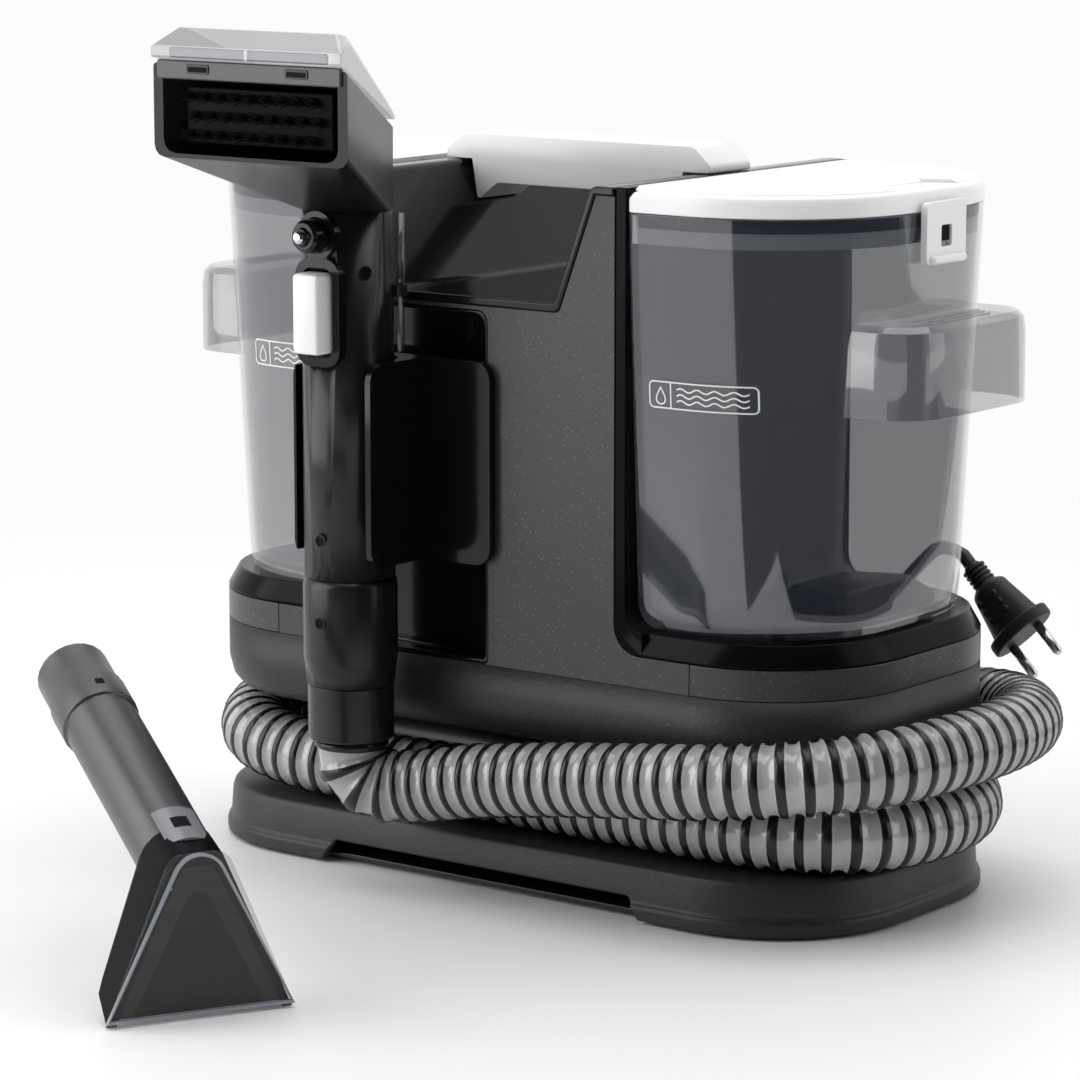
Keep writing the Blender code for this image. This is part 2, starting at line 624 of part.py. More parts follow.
# ---- tanks -------------------------------------------------------------------------------------
def tank_sections(outward=0.0):
    """Heights and insets of a tank's outside, from its foot to its rim."""
    foot = SEAT_Z + GAP
    steps = ((0.0, 0.0130, 0.0110), (0.0015, 0.0106, 0.0060), (0.0048, 0.0096, 0.0025), (0.0108, 0.0090, 0.0))
    sections = [(foot + rise, outer + outward, inner + outward) for rise, outer, inner in steps]
    sections.append((TANK_TOP, outward, outward))
    return sections


def grip_plan(inset=0.0):
    corner = 0.024 - inset
    half = GRIP_HALF_WIDTH - inset
    return oblong(TANK_HALF_LENGTH - 0.020, GRIP_REACH - inset, -half, half, (corner, corner, 0.002, 0.002), 5)


def build_tank(side, name):
    """A smoked tank: a tapered tub with a hollow grip moulded on its end, and a hole in its floor."""
    tank = loft(name, [flat(tank_plan(a, b), z, side) for z, a, b in tank_sections()], SMOKED)
    low = GRIP_TOP - GRIP_DROP
    places = ((GRIP_TOP, 0.004), (GRIP_TOP - 0.003, 0.0010), (GRIP_TOP - 0.010, 0.0), (low, 0.0))
    places += ((low, TANK_WALL), (GRIP_TOP - TANK_WALL - 0.001, TANK_WALL + 0.001))
    grip = loft(f"{name}_grip", [flat(grip_plan(inset), z, side) for z, inset in places], SMOKED)
    combine(tank, grip, "UNION")
    loops = []
    for z, a, b in tank_sections(TANK_WALL):
        loops.append(flat(tank_plan(a, b), z + (WALL if z < TANK_TOP - 0.01 else 0.004), side))
    combine(tank, loft(f"{name}_cavity", loops, SMOKED))
    hole_x = VALVE_X if side > 0 else RISER_X
    hole_r = VALVE_STEM + 0.0012 if side > 0 else RISER_RADIUS - 0.003
    hole = ((hole_r, -0.01), (hole_r, 0.01))
    combine(tank, turned(f"{name}_hole", hole, (hole_x, 0, SEAT_Z + 0.002), (0, 0, 1), SMOKED, count=16))


def build_lid(side, name):
    """The white lid, the seal under it and the latch that hooks under the tank's rim."""
    low = TANK_TOP + GAP
    top = TANK_TOP + LID_RISE
    places = ((top, 0.0045), (top - 0.0012, 0.0018), (top - 0.0038, 0.0002), (low, 0.0002))
    places += ((low, WALL), (top - WALL, 0.0060))
    loft(f"{name}_lid", [flat(tank_plan(a, a), z, side) for z, a in places], WHITE)
    seal = ((low - 0.0004, 0.0027), (low - 0.0070, 0.0030), (low - 0.0070, 0.0060), (low - 0.0004, 0.0060))
    loops = [flat(tank_plan(a, a), z, side) for z, a in seal]
    loft(f"{name}_seal", loops, RUBBER, ring=True)
    half = LATCH_HALF_WIDTH
    high_z = TANK_TOP + 0.0049
    low_z = high_z - LATCH_HEIGHT
    outline = oblong(-half, half, low_z, high_z, [0.003] * 4, 3)
    window = oblong(-0.0045, 0.0045, low_z + 0.008, low_z + 0.018, [0.001] * 4, 2)
    near = TANK_HALF_LENGTH + 0.0013
    far = near + LATCH_THICKNESS
    loops = [[Vector((side * x, point.x, point.y)) for point in ring]
             for x, ring in ((near, outline), (far, outline))]
    latch = loft(f"{name}_latch", loops, WHITE)
    loops = [[Vector((side * x, point.x, point.y)) for point in window] for x in (near - 0.004, far + 0.004)]
    combine(latch, loft(f"{name}_window", loops, WHITE))


def build_tank_fittings():
    """The valve and strainer in the clear tank, and the riser and float in the dirty one."""
    floor = SEAT_Z + GAP + WALL
    stem = SEAT_Z + 0.0007
    poppet = ((VALVE_STEM, stem), (VALVE_STEM, floor + GAP), (0.0080, floor + GAP), (0.0080, floor + 0.0040))
    poppet += ((0.0030, floor + 0.0070), (0.0030, floor + 0.0130))
    turned("clear_tank_valve", poppet, (VALVE_X, 0, 0), (0, 0, 1), SATIN_BLACK, count=20)
    fan = [(0.1260, -0.0300, 0.004), (0.1760, -0.0500, 0.012), (0.1760, 0.0500, 0.012), (0.1260, 0.0300, 0.004)]
    base = rounded(fan, 4)
    raised = [Vector((0.1510 + (point.x - 0.1510) * 0.72, point.y * 0.72)) for point in base]
    loops = [flat(base, floor + GAP), flat(base, floor + 0.0060), flat(raised, floor + 0.0140)]
    loft("clear_tank_strainer", loops, SATIN_BLACK)
    top = TANK_TOP - 0.0320
    foot = floor + GAP
    wall = 0.0020
    inner = RISER_RADIUS - wall
    riser = ((RISER_RADIUS, foot), (RISER_RADIUS, top), (inner, top), (inner, foot))
    turned("dirty_tank_riser", riser, (RISER_X, 0, 0), (0, 0, 1), SATIN_BLACK, ring=True)
    bore = RISER_RADIUS + 0.0012
    low = floor + FLOAT_REST
    high = low + FLOAT_HEIGHT
    ring = ((FLOAT_RADIUS, low), (FLOAT_RADIUS, high), (bore, high), (bore, low))
    turned("dirty_tank_float", ring, (RISER_X, 0, 0), (0, 0, 1), SATIN_BLACK, ring=True)
    rest = ((RISER_RADIUS + GAP, foot), (RISER_RADIUS + GAP, low - GAP))
    rest += ((FLOAT_RADIUS - 0.004, low - GAP), (FLOAT_RADIUS - 0.004, low - 0.0030), (0.0190, foot))
    turned("float_stop", rest, (RISER_X, 0, 0), (0, 0, 1), SATIN_BLACK, ring=True)


# ---- inside ------------------------------------------------------------------------------------
def build_inside():
    """The suction motor, its fan and housing, the water pump and the duct from the hose to the tank."""
    bore = SHAFT_RADIUS + 0.0004
    low = MOTOR_Z
    high = FAN_Z - GAP
    casing = ((MOTOR_RADIUS, low), (MOTOR_RADIUS, high), (bore, high), (bore, low))
    turned("suction_motor", casing, (0, MOTOR_Y, 0), (0, 0, 1), MOTOR, ring=True)
    top = FAN_Z + FAN_HEIGHT
    r = FAN_RADIUS
    case = ((r, FAN_Z), (r, top), (0.016, top), (0.016, top - WALL), (r - WALL, top - WALL))
    case += ((r - WALL, FAN_Z + WALL), (0.006, FAN_Z + WALL), (0.006, FAN_Z))
    turned("fan_housing", case, (0, MOTOR_Y, 0), (0, 0, 1), SATIN_BLACK, ring=True)
    disc = FAN_Z + 0.0070
    rim = r - WALL - 0.0030
    rotor = ((SHAFT_RADIUS, low + 0.004), (SHAFT_RADIUS, disc), (rim, disc), (rim, disc + 0.0020))
    rotor += ((0.0140, disc + 0.0090), (0.0100, disc + 0.0130))
    turned("impeller", rotor, (0, MOTOR_Y, 0), (0, 0, 1), STEEL)
    pump = ((0.0090, 0.0), (0.0130, 0.002), (0.0130, 0.034), (0.0070, 0.036), (0.0070, 0.046))
    turned("water_pump", pump, (0.070, -0.045, 0.098), (1, 0, 0), MOTOR, count=20)
    port_x = HOSE_ROUTE[-1][0] - 0.036
    route = smooth_path([(port_x, 0.046, 0.0465), (port_x, 0.030, 0.048), (port_x - 0.012, 0.014, 0.058),
                         (0.000, 0.004, 0.076), (-0.050, 0.0, 0.092), (-0.100, 0.0, 0.104),
                         (RISER_X, 0.0, 0.116), (RISER_X, 0.0, SHOULDER_Z - GAP)], 0.016)
    pipe("suction_duct", route, 0.0130, 0.0112, SATIN_BLACK, count=14)


# ---- wand --------------------------------------------------------------------------------------
def build_wand():
    """The hose cuff, collar, two grip shells, trigger, spray nozzle and water tube."""
    axis = (WAND_X, WAND_Y, 0)
    up = (0, 0, 1)
    cuff = ((CUFF_RADIUS - 0.001, CUFF_Z), (CUFF_RADIUS, CUFF_Z + 0.001), (CUFF_RADIUS, COLLAR_Z - GAP))
    cuff += ((WAND_BORE, COLLAR_Z - GAP), (WAND_BORE, CUFF_Z))
    turned("hose_cuff", cuff, axis, up, SATIN_BLACK, ring=True)
    bulge = COLLAR_Z + 0.0138
    collar = ((CUFF_RADIUS + 0.0003, COLLAR_Z), (COLLAR_RADIUS, bulge), (COLLAR_RADIUS, GRIP_Z - 0.0040))
    collar += ((GRIP_RADIUS, GRIP_Z - GAP), (WAND_BORE, GRIP_Z - GAP), (WAND_BORE, COLLAR_Z))
    turned("wand_collar", collar, axis, up, SATIN_BLACK, ring=True)

    steps = 12
    halves = (("grip_front", math.pi, -GAP / 2), ("grip_rear", 0.0, GAP / 2))
    for name, start, shift in halves:
        outline = []
        for radius, order in ((GRIP_RADIUS, range(steps + 1)), (WAND_BORE, reversed(range(steps + 1)))):
            for step in order:
                angle = start + math.pi * step / steps
                x = WAND_X + radius * math.cos(angle)
                outline.append(Vector((x, WAND_Y + radius * math.sin(angle) + shift)))
        shell = slab(name, outline, GRIP_Z, NECK_Z - GAP, SATIN_BLACK)
        if name == "grip_front":
            half = TRIGGER_HALF_WIDTH + 0.0007
            low = (WAND_X - half, WAND_Y - 0.05, TRIGGER_LOW - 0.0010)
            high = (WAND_X + half, WAND_Y - 0.012, TRIGGER_HIGH + 0.0010)
            combine(shell, block("trigger_slot", low, high, SATIN_BLACK))

    front = WAND_Y - GRIP_RADIUS
    low = (WAND_X - TRIGGER_HALF_WIDTH, front - TRIGGER_PROUD, TRIGGER_LOW)
    high = (WAND_X + TRIGGER_HALF_WIDTH, front + 0.0040, TRIGGER_HIGH)
    block("trigger", low, high, WHITE, 0.0026)

    boss = ((0.0080, 0.0), (0.0080, 0.0080), (0.0066, 0.0095), (0.0045, 0.0095), (0.0040, 0.0112))
    turned("spray_nozzle", boss, (WAND_X, front - 0.0015, SPRAY_Z), (0, -1, 0), GLOSS_BLACK, count=20)
    offset = Vector((0.797, 0.604, 0)) * (GRIP_RADIUS + 0.0028)
    foot = Vector((WAND_X, WAND_Y, CLIP_HIGH + 0.003)) + offset
    head = Vector((WAND_X, WAND_Y, NECK_Z - 0.002)) + offset
    turned("water_tube", ((0.0022, 0.0), (0.0022, (head - foot).length)), foot, (0, 0, 1), CLEAR, count=12)


def build_head():
    """The brush head: a hollow housing from the neck to the mouth, its brush and its clear nozzle."""
    neck = (WAND_X, WAND_Y)
    corner = 0.006

    def mouth(y, shrink, low_cut=0.0):
        points = oblong(WAND_X - MOUTH_HALF_WIDTH + shrink, WAND_X + MOUTH_HALF_WIDTH - shrink,
                        MOUTH_LOW + shrink + low_cut, MOUTH_HIGH - shrink, (corner, 0.002, 0.002, corner), 3)
        return upright(points, y)

    front = mouth(MOUTH_Y, 0.0)
    outer = front + circle((*neck, NECK_Z), (0, 0, 1), GRIP_RADIUS) + circle((*neck, HEAD_Z), (0, 0, 1), GRIP_RADIUS)
    housing = hull("head_housing", outer, SATIN_BLACK)
    wall = 0.0030
    inner = mouth(MOUTH_Y - 0.004, wall + 0.001)
    inner += circle((*neck, NECK_Z + 0.0040), (0, 0, 1), GRIP_RADIUS - wall)
    inner += circle((*neck, HEAD_Z - wall - 0.001), (0, 0, 1), GRIP_RADIUS - wall)
    combine(housing, hull("head_cavity", inner, SATIN_BLACK))
    passage = ((WAND_BORE, NECK_Z - 0.005), (WAND_BORE, NECK_Z + 0.008))
    combine(housing, turned("head_passage", passage, (*neck, 0), (0, 0, 1), SATIN_BLACK))

    half = MOUTH_HALF_WIDTH - 0.0145
    low = (WAND_X - half, MOUTH_Y + 0.0070, MOUTH_LOW + 0.0068)
    high = (WAND_X + half, MOUTH_Y + 0.0120, MOUTH_HIGH - 0.0110)
    block("brush_block", low, high, SATIN_BLACK, 0.001)

    def roof(y):
        return MOUTH_HIGH - (y - MOUTH_Y) * (MOUTH_HIGH - HEAD_Z) / (WAND_Y + GRIP_RADIUS - MOUTH_Y)

    lift = 0.0016
    back = WAND_Y + GRIP_RADIUS - 0.004
    points = []
    wide = MOUTH_HALF_WIDTH - 0.0010
    for x in (-wide, wide):
        points.append((WAND_X + x, MOUTH_Y - 0.0030, roof(MOUTH_Y - 0.0030) + lift))
        points.append((WAND_X + x, MOUTH_Y - 0.0030, MOUTH_HIGH + 0.0080))
    for side in (-1, 1):
        for reach, drop in ((wide - LIP_INSET, 0.0), (wide - LIP_INSET + LIP_ROUND, LIP_ROUND)):
            points.append((WAND_X + side * reach, MOUTH_Y + 0.0060, LIP_TOP - drop))
            points.append((WAND_X + side * reach, MOUTH_Y + 0.0120, LIP_TOP - drop - 0.0010))
    for x in (-0.015, 0.015):
        points.append((WAND_X + x, back, roof(back) + lift))
        points.append((WAND_X + x, back, roof(back) + lift + 0.0030))
    hull("clear_nozzle", points, CLEAR)


# ---- cords -------------------------------------------------------------------------------------
# The hose leaves the wand's cuff, bends to the right along the front, goes once round the machine,
# drops into the channel at the left end and goes round again underneath, to the port at the back.
HOSE_ROUTE = [
    (-0.0545, -0.1250, CUFF_Z - GAP), (-0.0543, -0.1248, 0.0660), (-0.0500, -0.1225, 0.0560),
    (-0.0385, -0.1175, 0.0510), (-0.0220, -0.1130, 0.0525), (0.0130, -0.1110, 0.0595),
    (0.0610, -0.1108, 0.0670), (0.1080, -0.1105, 0.0730), (0.1500, -0.1085, 0.0780),
    (0.1880, -0.0920, 0.0820), (0.2120, -0.0600, 0.0845), (0.2220, -0.0180, 0.0860),
    (0.2220, 0.0250, 0.0860), (0.2100, 0.0660, 0.0845), (0.1820, 0.0980, 0.0815),
    (0.1430, 0.1130, 0.0770), (0.0950, 0.1160, 0.0710), (0.0450, 0.1140, 0.0660),
    (-0.0050, 0.1110, 0.0620), (-0.0550, 0.1070, 0.0590), (-0.1050, 0.0990, 0.0570),
    (-0.1500, 0.0820, 0.0570), (-0.1800, 0.0480, 0.0575), (-0.1905, 0.0050, 0.0580),
    (-0.1860, -0.0380, 0.0560), (-0.1630, -0.0680, 0.0520), (-0.1250, -0.0790, 0.0485),
    (-0.0800, -0.0765, 0.0467), (-0.0300, -0.0725, 0.0465), (0.0200, -0.0715, 0.0465),
    (0.0700, -0.0715, 0.0465), (0.1200, -0.0715, 0.0465), (0.1600, -0.0660, 0.0465),
    (0.1880, -0.0480, 0.0465), (0.2010, -0.0150, 0.0465), (0.2000, 0.0220, 0.0465),
    (0.1840, 0.0520, 0.0465), (0.1550, 0.0690, 0.0465), (0.1180, 0.0740, 0.0465),
    (0.0800, 0.0745, 0.0465),
]


def build_cords():
    """The hose, the wound power cord with its two free ends, its gland, hooks and plug."""
    start = Vector(HOSE_ROUTE[0])
    finish_point = Vector(HOSE_ROUTE[-1])
    middle = smooth_path(HOSE_ROUTE, 0.0245)[1:-1]
    route = [start, start - Vector((0, 0, 0.0030))] + middle
    route += [finish_point + Vector((0.0030, 0, 0)), finish_point]
    tube("hose", route, HOSE_DIAMETER, HOSE)

    rear = HALF_DEPTH + GAP
    gland = ((0.0095, 0.0), (0.0095, 0.0020), (0.0062, 0.0030), (0.0045, GLAND_LENGTH))
    turned("cord_gland", gland, (GLAND_X, rear, GLAND_Z), (0, 1, 0), RUBBER, count=16)

    half = CORD_DIAMETER / 2
    inner = COIL_TURN_RADIUS - half
    outer = COIL_TURN_RADIUS + (COIL_LAYERS - 1) * CORD_DIAMETER + half
    depth = COIL_ROWS * CORD_DIAMETER
    near = COIL_Y
    far = COIL_Y + depth

    def race(radius, y):
        reach = COIL_STRAIGHT + radius
        return upright(oblong(-radius, radius, COIL_Z - reach, COIL_Z + reach, [radius - 1e-5] * 4, 5), y)

    loft("cord_coil", [race(outer, near), race(outer, far), race(inner, far), race(inner, near)], CORD, ring=True)

    middle = COIL_Y + depth / 2
    exit_y = rear + GLAND_LENGTH + 2 * GAP
    lead = [(GLAND_X, exit_y, GLAND_Z), (GLAND_X, exit_y + 0.005, GLAND_Z),
            (GLAND_X, exit_y + 0.010, GLAND_Z + 0.006), (GLAND_X + 0.001, exit_y + 0.009, GLAND_Z + 0.018),
            (GLAND_X + 0.006, middle + 0.003, GLAND_Z + 0.030), (-outer - 0.005, middle, GLAND_Z + 0.034),
            (-outer - 2 * GAP, middle, GLAND_Z + 0.034)]
    tube("cord_lead", smooth_path(lead, 0.005), CORD_DIAMETER, CORD, 2)
    start = PLUG_START - PLUG_AXIS * GAP
    tail = [(outer + GAP, middle, 0.1550), (0.0620, 0.1165, 0.1400), (0.0800, 0.1170, 0.1270),
            (0.1000, 0.1180, 0.1280), (0.1160, 0.1183, 0.1430), (0.1280, 0.1181, 0.1530),
            tuple(start - PLUG_AXIS * 0.007), tuple(start)]
    tube("cord_tail", smooth_path(tail, 0.0070), CORD_DIAMETER, CORD, 2)

    side = PLUG_AXIS.cross(Vector((0, 1, 0))).normalized()
    depth_axis = Vector((0, 1, 0))
    shape = ((0.0, 0.0043, 0.0043), (0.012, 0.0055, 0.0055), (0.015, 0.0100, 0.0078), (0.034, 0.0140, 0.0090))
    shape += ((0.0385, 0.0150, 0.0100), (0.0385, 0.0188, 0.0130), (PLUG_LENGTH, 0.0188, 0.0130))
    loops = []
    for along, wide, thick in shape:
        ring = []
        for step in range(20):
            angle = 2 * math.pi * step / 20
            across = side * (wide * math.cos(angle)) + depth_axis * (thick * math.sin(angle))
            ring.append(PLUG_START + PLUG_AXIS * along + across)
        loops.append(ring)
    loft("plug_body", loops, RUBBER)
    for name, sign in (("plug_pin_line", 1), ("plug_pin_neutral", -1)):
        place = PLUG_START + PLUG_AXIS * (PLUG_LENGTH + GAP) + side * (sign * PIN_SPACING / 2)
        pin = ((PIN_RADIUS, 0.0), (PIN_RADIUS, PIN_LENGTH - 0.002), (PIN_RADIUS * 0.5, PIN_LENGTH))
        turned(name, pin, place, PLUG_AXIS, STEEL, count=14)

    stem = inner - 0.0035
    arm = COIL_Y + depth + 0.0030
    for name, sign in (("upper_cord_hook", 1), ("lower_cord_hook", -1)):
        centre = COIL_Z + sign * COIL_STRAIGHT
        rod = ((stem * 0.5, rear), (stem * 0.5, arm + 0.0040))
        hook = turned(name, rod, (0, 0, centre), (0, 1, 0), SATIN_BLACK, count=20)
        reach = outer + 0.0040
        ends = sorted((centre, centre + sign * reach))
        blade = oblong(-0.0110, 0.0110, ends[0], ends[1], [0.0070] * 4, 3)
        combine(hook, plate(f"{name}_blade", blade, arm, arm + 0.0040, SATIN_BLACK), "UNION")


# ---- controls ----------------------------------------------------------------------------------
def build_button():
    """The power button in the rear panel."""
    front = HALF_DEPTH - WALL - 0.0030
    cap = ((BUTTON_RADIUS, 0.0), (BUTTON_RADIUS, 0.0082), (BUTTON_RADIUS - 0.0010, 0.0092))
    turned("power_button", cap, (BUTTON_X, front, BUTTON_Z), (0, 1, 0), WHITE)


# ---- spare tool --------------------------------------------------------------------------------
def tool_point(across, back, z):
    """A place on the spare tool: across its mouth, back from its front lip, and up."""
    width = Vector((math.cos(TOOL_ANGLE), math.sin(TOOL_ANGLE), 0))
    rearward = Vector((-math.sin(TOOL_ANGLE), math.cos(TOOL_ANGLE), 0))
    return TOOL_ORIGIN + width * across + rearward * back + Vector((0, 0, z))


def build_spare_tool():
    """The wide hand tool: a flat hollow head, a clear front cover and a leaning tube with a collar."""
    top = TOOL_HEAD_HEIGHT
    wide = TOOL_HALF_WIDTH
    narrow = 0.0115
    axis_start = (0.0300, top - 0.0090)
    direction = tool_point(0, math.cos(TOOL_TUBE_RISE), math.sin(TOOL_TUBE_RISE)) - tool_point(0, 0, 0)
    foot = tool_point(0, *axis_start)

    front = 0.0030
    outer = []
    for sign in (-1, 1):
        outer.append(tool_point(sign * (wide - 0.0010), front, 0.0))
        outer.append(tool_point(sign * (wide - 0.0030), 0.0190, 0.0110))
        outer.append(tool_point(sign * (wide - 0.0050), 0.0200, 0.0170))
        outer.append(tool_point(sign * narrow, front, top - 0.002))
    outer += circle(foot, direction, TOOL_TUBE_RADIUS + 0.0008, 20)
    head = hull("spare_tool_head", outer, SATIN_BLACK)
    inner = []
    for sign in (-1, 1):
        inner.append(tool_point(sign * (wide - 0.0050), front - 0.003, -0.004))
        inner.append(tool_point(sign * (wide - 0.0050), 0.0100, -0.002))
        inner.append(tool_point(sign * (wide - 0.0090), 0.0165, 0.0200))
        inner.append(tool_point(sign * (narrow - 0.0035), front - 0.003, top - 0.0080))
    inner += circle(foot + direction * 0.004, direction, TOOL_TUBE_RADIUS - 0.0028, 16)
    combine(head, hull("spare_cavity", inner, SATIN_BLACK))

    lip = 0.0018
    corners = [(-wide, 0.0, 0.0015), (wide, 0.0, 0.0015), (narrow + 0.0015, top, 0.009), (-narrow - 0.0015, top, 0.009)]
    outline = rounded(corners, 4)
    loops = []
    for back in (front - GAP - lip, front - GAP):
        loops.append([tool_point(point.x, back, point.y) for point in outline])
    loft("spare_tool_cover", loops, CLEAR)

    r = TOOL_TUBE_RADIUS
    long = TOOL_TUBE_LENGTH
    bore = r - 0.0022
    step = long - 0.044
    skin = ((r, GAP), (r, step), (r + 0.0012, step + 0.0010), (r + 0.0012, step + 0.0200))
    skin += ((r, step + 0.0240), (r, long), (bore, long), (bore, GAP))
    turned("spare_tool_tube", skin, foot, direction, SATIN_BLACK, ring=True)


build_base()
build_channel()
build_lower_body()
build_panels()
build_handle(*build_saddle())
build_seat(1, "clear_tank_seat")
build_seat(-1, "dirty_tank_seat")
build_dock()
for direction, tank_name in ((1, "clear_tank"), (-1, "dirty_tank")):
    build_tank(direction, tank_name)
    build_lid(direction, tank_name)
build_tank_fittings()
build_inside()
build_wand()
build_head()
build_cords()
build_button()
build_spare_tool()
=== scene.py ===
import math
import random

import bmesh
import bpy
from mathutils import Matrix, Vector


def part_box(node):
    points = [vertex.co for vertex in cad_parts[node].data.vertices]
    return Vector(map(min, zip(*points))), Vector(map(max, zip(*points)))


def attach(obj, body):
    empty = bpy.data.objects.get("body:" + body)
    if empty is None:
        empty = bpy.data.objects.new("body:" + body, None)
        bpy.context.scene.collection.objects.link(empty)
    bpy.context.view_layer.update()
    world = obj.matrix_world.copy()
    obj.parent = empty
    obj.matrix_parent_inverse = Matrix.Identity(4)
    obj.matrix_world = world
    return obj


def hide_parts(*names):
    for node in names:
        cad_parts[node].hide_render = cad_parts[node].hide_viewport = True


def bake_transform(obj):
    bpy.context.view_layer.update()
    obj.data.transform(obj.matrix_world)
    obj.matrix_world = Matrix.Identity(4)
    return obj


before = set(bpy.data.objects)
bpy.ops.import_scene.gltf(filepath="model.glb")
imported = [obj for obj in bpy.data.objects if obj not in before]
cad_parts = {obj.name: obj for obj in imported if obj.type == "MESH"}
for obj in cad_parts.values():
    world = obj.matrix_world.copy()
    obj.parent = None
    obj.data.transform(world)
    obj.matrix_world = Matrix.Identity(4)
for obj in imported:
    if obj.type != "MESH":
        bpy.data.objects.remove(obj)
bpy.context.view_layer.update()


# ---- the room: a pale floor, soft white surroundings and three soft lights -------------------------
# The machine stands on a seamless white floor. The light comes from a wide box at the front left,
# a weak one at the right and a large one overhead. Black flags keep the right end's reflections dark.
aim = Vector((-0.0345, 0.0, 0.1560))
view_turn = math.radians(37.22)
view_rise = math.radians(10.03)
view_distance = 2.1393
towards_viewer = Vector((
    math.sin(view_turn) * math.cos(view_rise),
    -math.cos(view_turn) * math.cos(view_rise),
    math.sin(view_rise),
))
camera_data = bpy.data.cameras.new("studio_camera")
camera_data.lens = 141.9
camera_data.sensor_width = 36.0
camera_data.clip_start = 0.05
camera = bpy.data.objects.new("studio_camera", camera_data)
camera.location = aim + towards_viewer * view_distance
camera.rotation_euler = (-towards_viewer).to_track_quat("-Z", "Y").to_euler()
bpy.context.scene.collection.objects.link(camera)
bpy.context.scene.camera = camera
bpy.context.scene.view_settings.view_transform = "Standard"


def soft_box(name, place, size, power):
    """A square studio light that faces the machine."""
    data = bpy.data.lights.new(name, "AREA")
    data.shape = "SQUARE"
    data.size = size
    data.energy = power
    lamp = bpy.data.objects.new(name, data)
    lamp.location = place
    lamp.rotation_euler = (Vector(place) - Vector((0, 0, 0.2))).to_track_quat("Z", "Y").to_euler()
    bpy.context.scene.collection.objects.link(lamp)


soft_box("front_left_box", (-1.55, -1.75, 1.05), 2.3, 46)
soft_box("right_box", (2.1, 0.9, 0.9), 1.6, 8)
soft_box("top_box", (0.1, 0.2, 2.3), 2.4, 31)

surroundings = bpy.data.worlds.new("white_surroundings")
surroundings.use_nodes = True
room = surroundings.node_tree
direction = room.nodes.new("ShaderNodeTexCoord")
facing_viewer = room.nodes.new("ShaderNodeVectorMath")
facing_viewer.operation = "DOT_PRODUCT"
facing_viewer.inputs[1].default_value = towards_viewer
brightness = room.nodes.new("ShaderNodeMapRange")
brightness.inputs["From Min"].default_value = -0.35
brightness.inputs["From Max"].default_value = 0.75
brightness.inputs["To Min"].default_value = 0.95
brightness.inputs["To Max"].default_value = 0.10
room.links.new(direction.outputs["Generated"], facing_viewer.inputs[0])
room.links.new(facing_viewer.outputs["Value"], brightness.inputs["Value"])
straight_on = room.nodes.new("ShaderNodeLightPath")
shown = room.nodes.new("ShaderNodeMix")
room.links.new(straight_on.outputs["Is Camera Ray"], shown.inputs[0])
room.links.new(brightness.outputs["Result"], shown.inputs[2])
shown.inputs[3].default_value = 0.95
room.links.new(shown.outputs[0], room.nodes["Background"].inputs["Strength"])
room.nodes["Background"].inputs["Color"].default_value = (1.0, 1.0, 1.0, 1.0)
bpy.context.scene.world = surroundings

floor_shape = bmesh.new()
bmesh.ops.create_grid(floor_shape, x_segments=1, y_segments=1, size=15.0)
floor_mesh = bpy.data.meshes.new("floor")
floor_shape.to_mesh(floor_mesh)
floor_shape.free()
floor = bpy.data.objects.new("floor", floor_mesh)
floor.location = (0, 0, -0.0005)
bpy.context.scene.collection.objects.link(floor)
floor_paint = bpy.data.materials.new("pale_floor")
floor_paint.use_nodes = True
floor_paint.node_tree.nodes["Principled BSDF"].inputs["Base Color"].default_value = (0.90, 0.90, 0.905, 1)
floor_paint.node_tree.nodes["Principled BSDF"].inputs["Roughness"].default_value = 0.42
floor_paint.node_tree.nodes["Principled BSDF"].inputs["Specular IOR Level"].default_value = 0.25
far_floor = floor_paint.node_tree
floor_place = far_floor.nodes.new("ShaderNodeTexCoord")
floor_distance = far_floor.nodes.new("ShaderNodeVectorMath")
floor_distance.operation = "LENGTH"
far_floor.links.new(floor_place.outputs["Object"], floor_distance.inputs[0])
fade = far_floor.nodes.new("ShaderNodeMapRange")
fade.inputs["From Min"].default_value = 0.35
fade.inputs["From Max"].default_value = 1.15
far_floor.links.new(floor_distance.outputs["Value"], fade.inputs["Value"])
glow = far_floor.nodes.new("ShaderNodeEmission")
glow.inputs["Strength"].default_value = 0.97
sweep_mix = far_floor.nodes.new("ShaderNodeMixShader")
far_floor.links.new(fade.outputs["Result"], sweep_mix.inputs[0])
far_floor.links.new(far_floor.nodes["Principled BSDF"].outputs[0], sweep_mix.inputs[1])
far_floor.links.new(glow.outputs[0], sweep_mix.inputs[2])
far_floor.links.new(sweep_mix.outputs[0], far_floor.nodes["Material Output"].inputs["Surface"])
floor_mesh.materials.append(floor_paint)

flag_shape = bmesh.new()
flag_corners = [flag_shape.verts.new(place) for place in
                ((1.16, -1.01, 0.0), (1.54, -0.09, 0.0), (1.54, -0.09, 1.15), (1.16, -1.01, 1.15))]
flag_shape.faces.new(flag_corners)
flag_mesh = bpy.data.meshes.new("black_flag")
flag_shape.to_mesh(flag_mesh)
flag_shape.free()
flag_cloth = bpy.data.materials.new("flag_cloth")
flag_cloth.use_nodes = True
flag_cloth.node_tree.nodes["Principled BSDF"].inputs["Base Color"].default_value = (0.01, 0.01, 0.01, 1)
flag_cloth.node_tree.nodes["Principled BSDF"].inputs["Specular IOR Level"].default_value = 0.0
flag_mesh.materials.append(flag_cloth)
flag = bpy.data.objects.new("black_flag", flag_mesh)
flag.visible_camera = False
bpy.context.scene.collection.objects.link(flag)

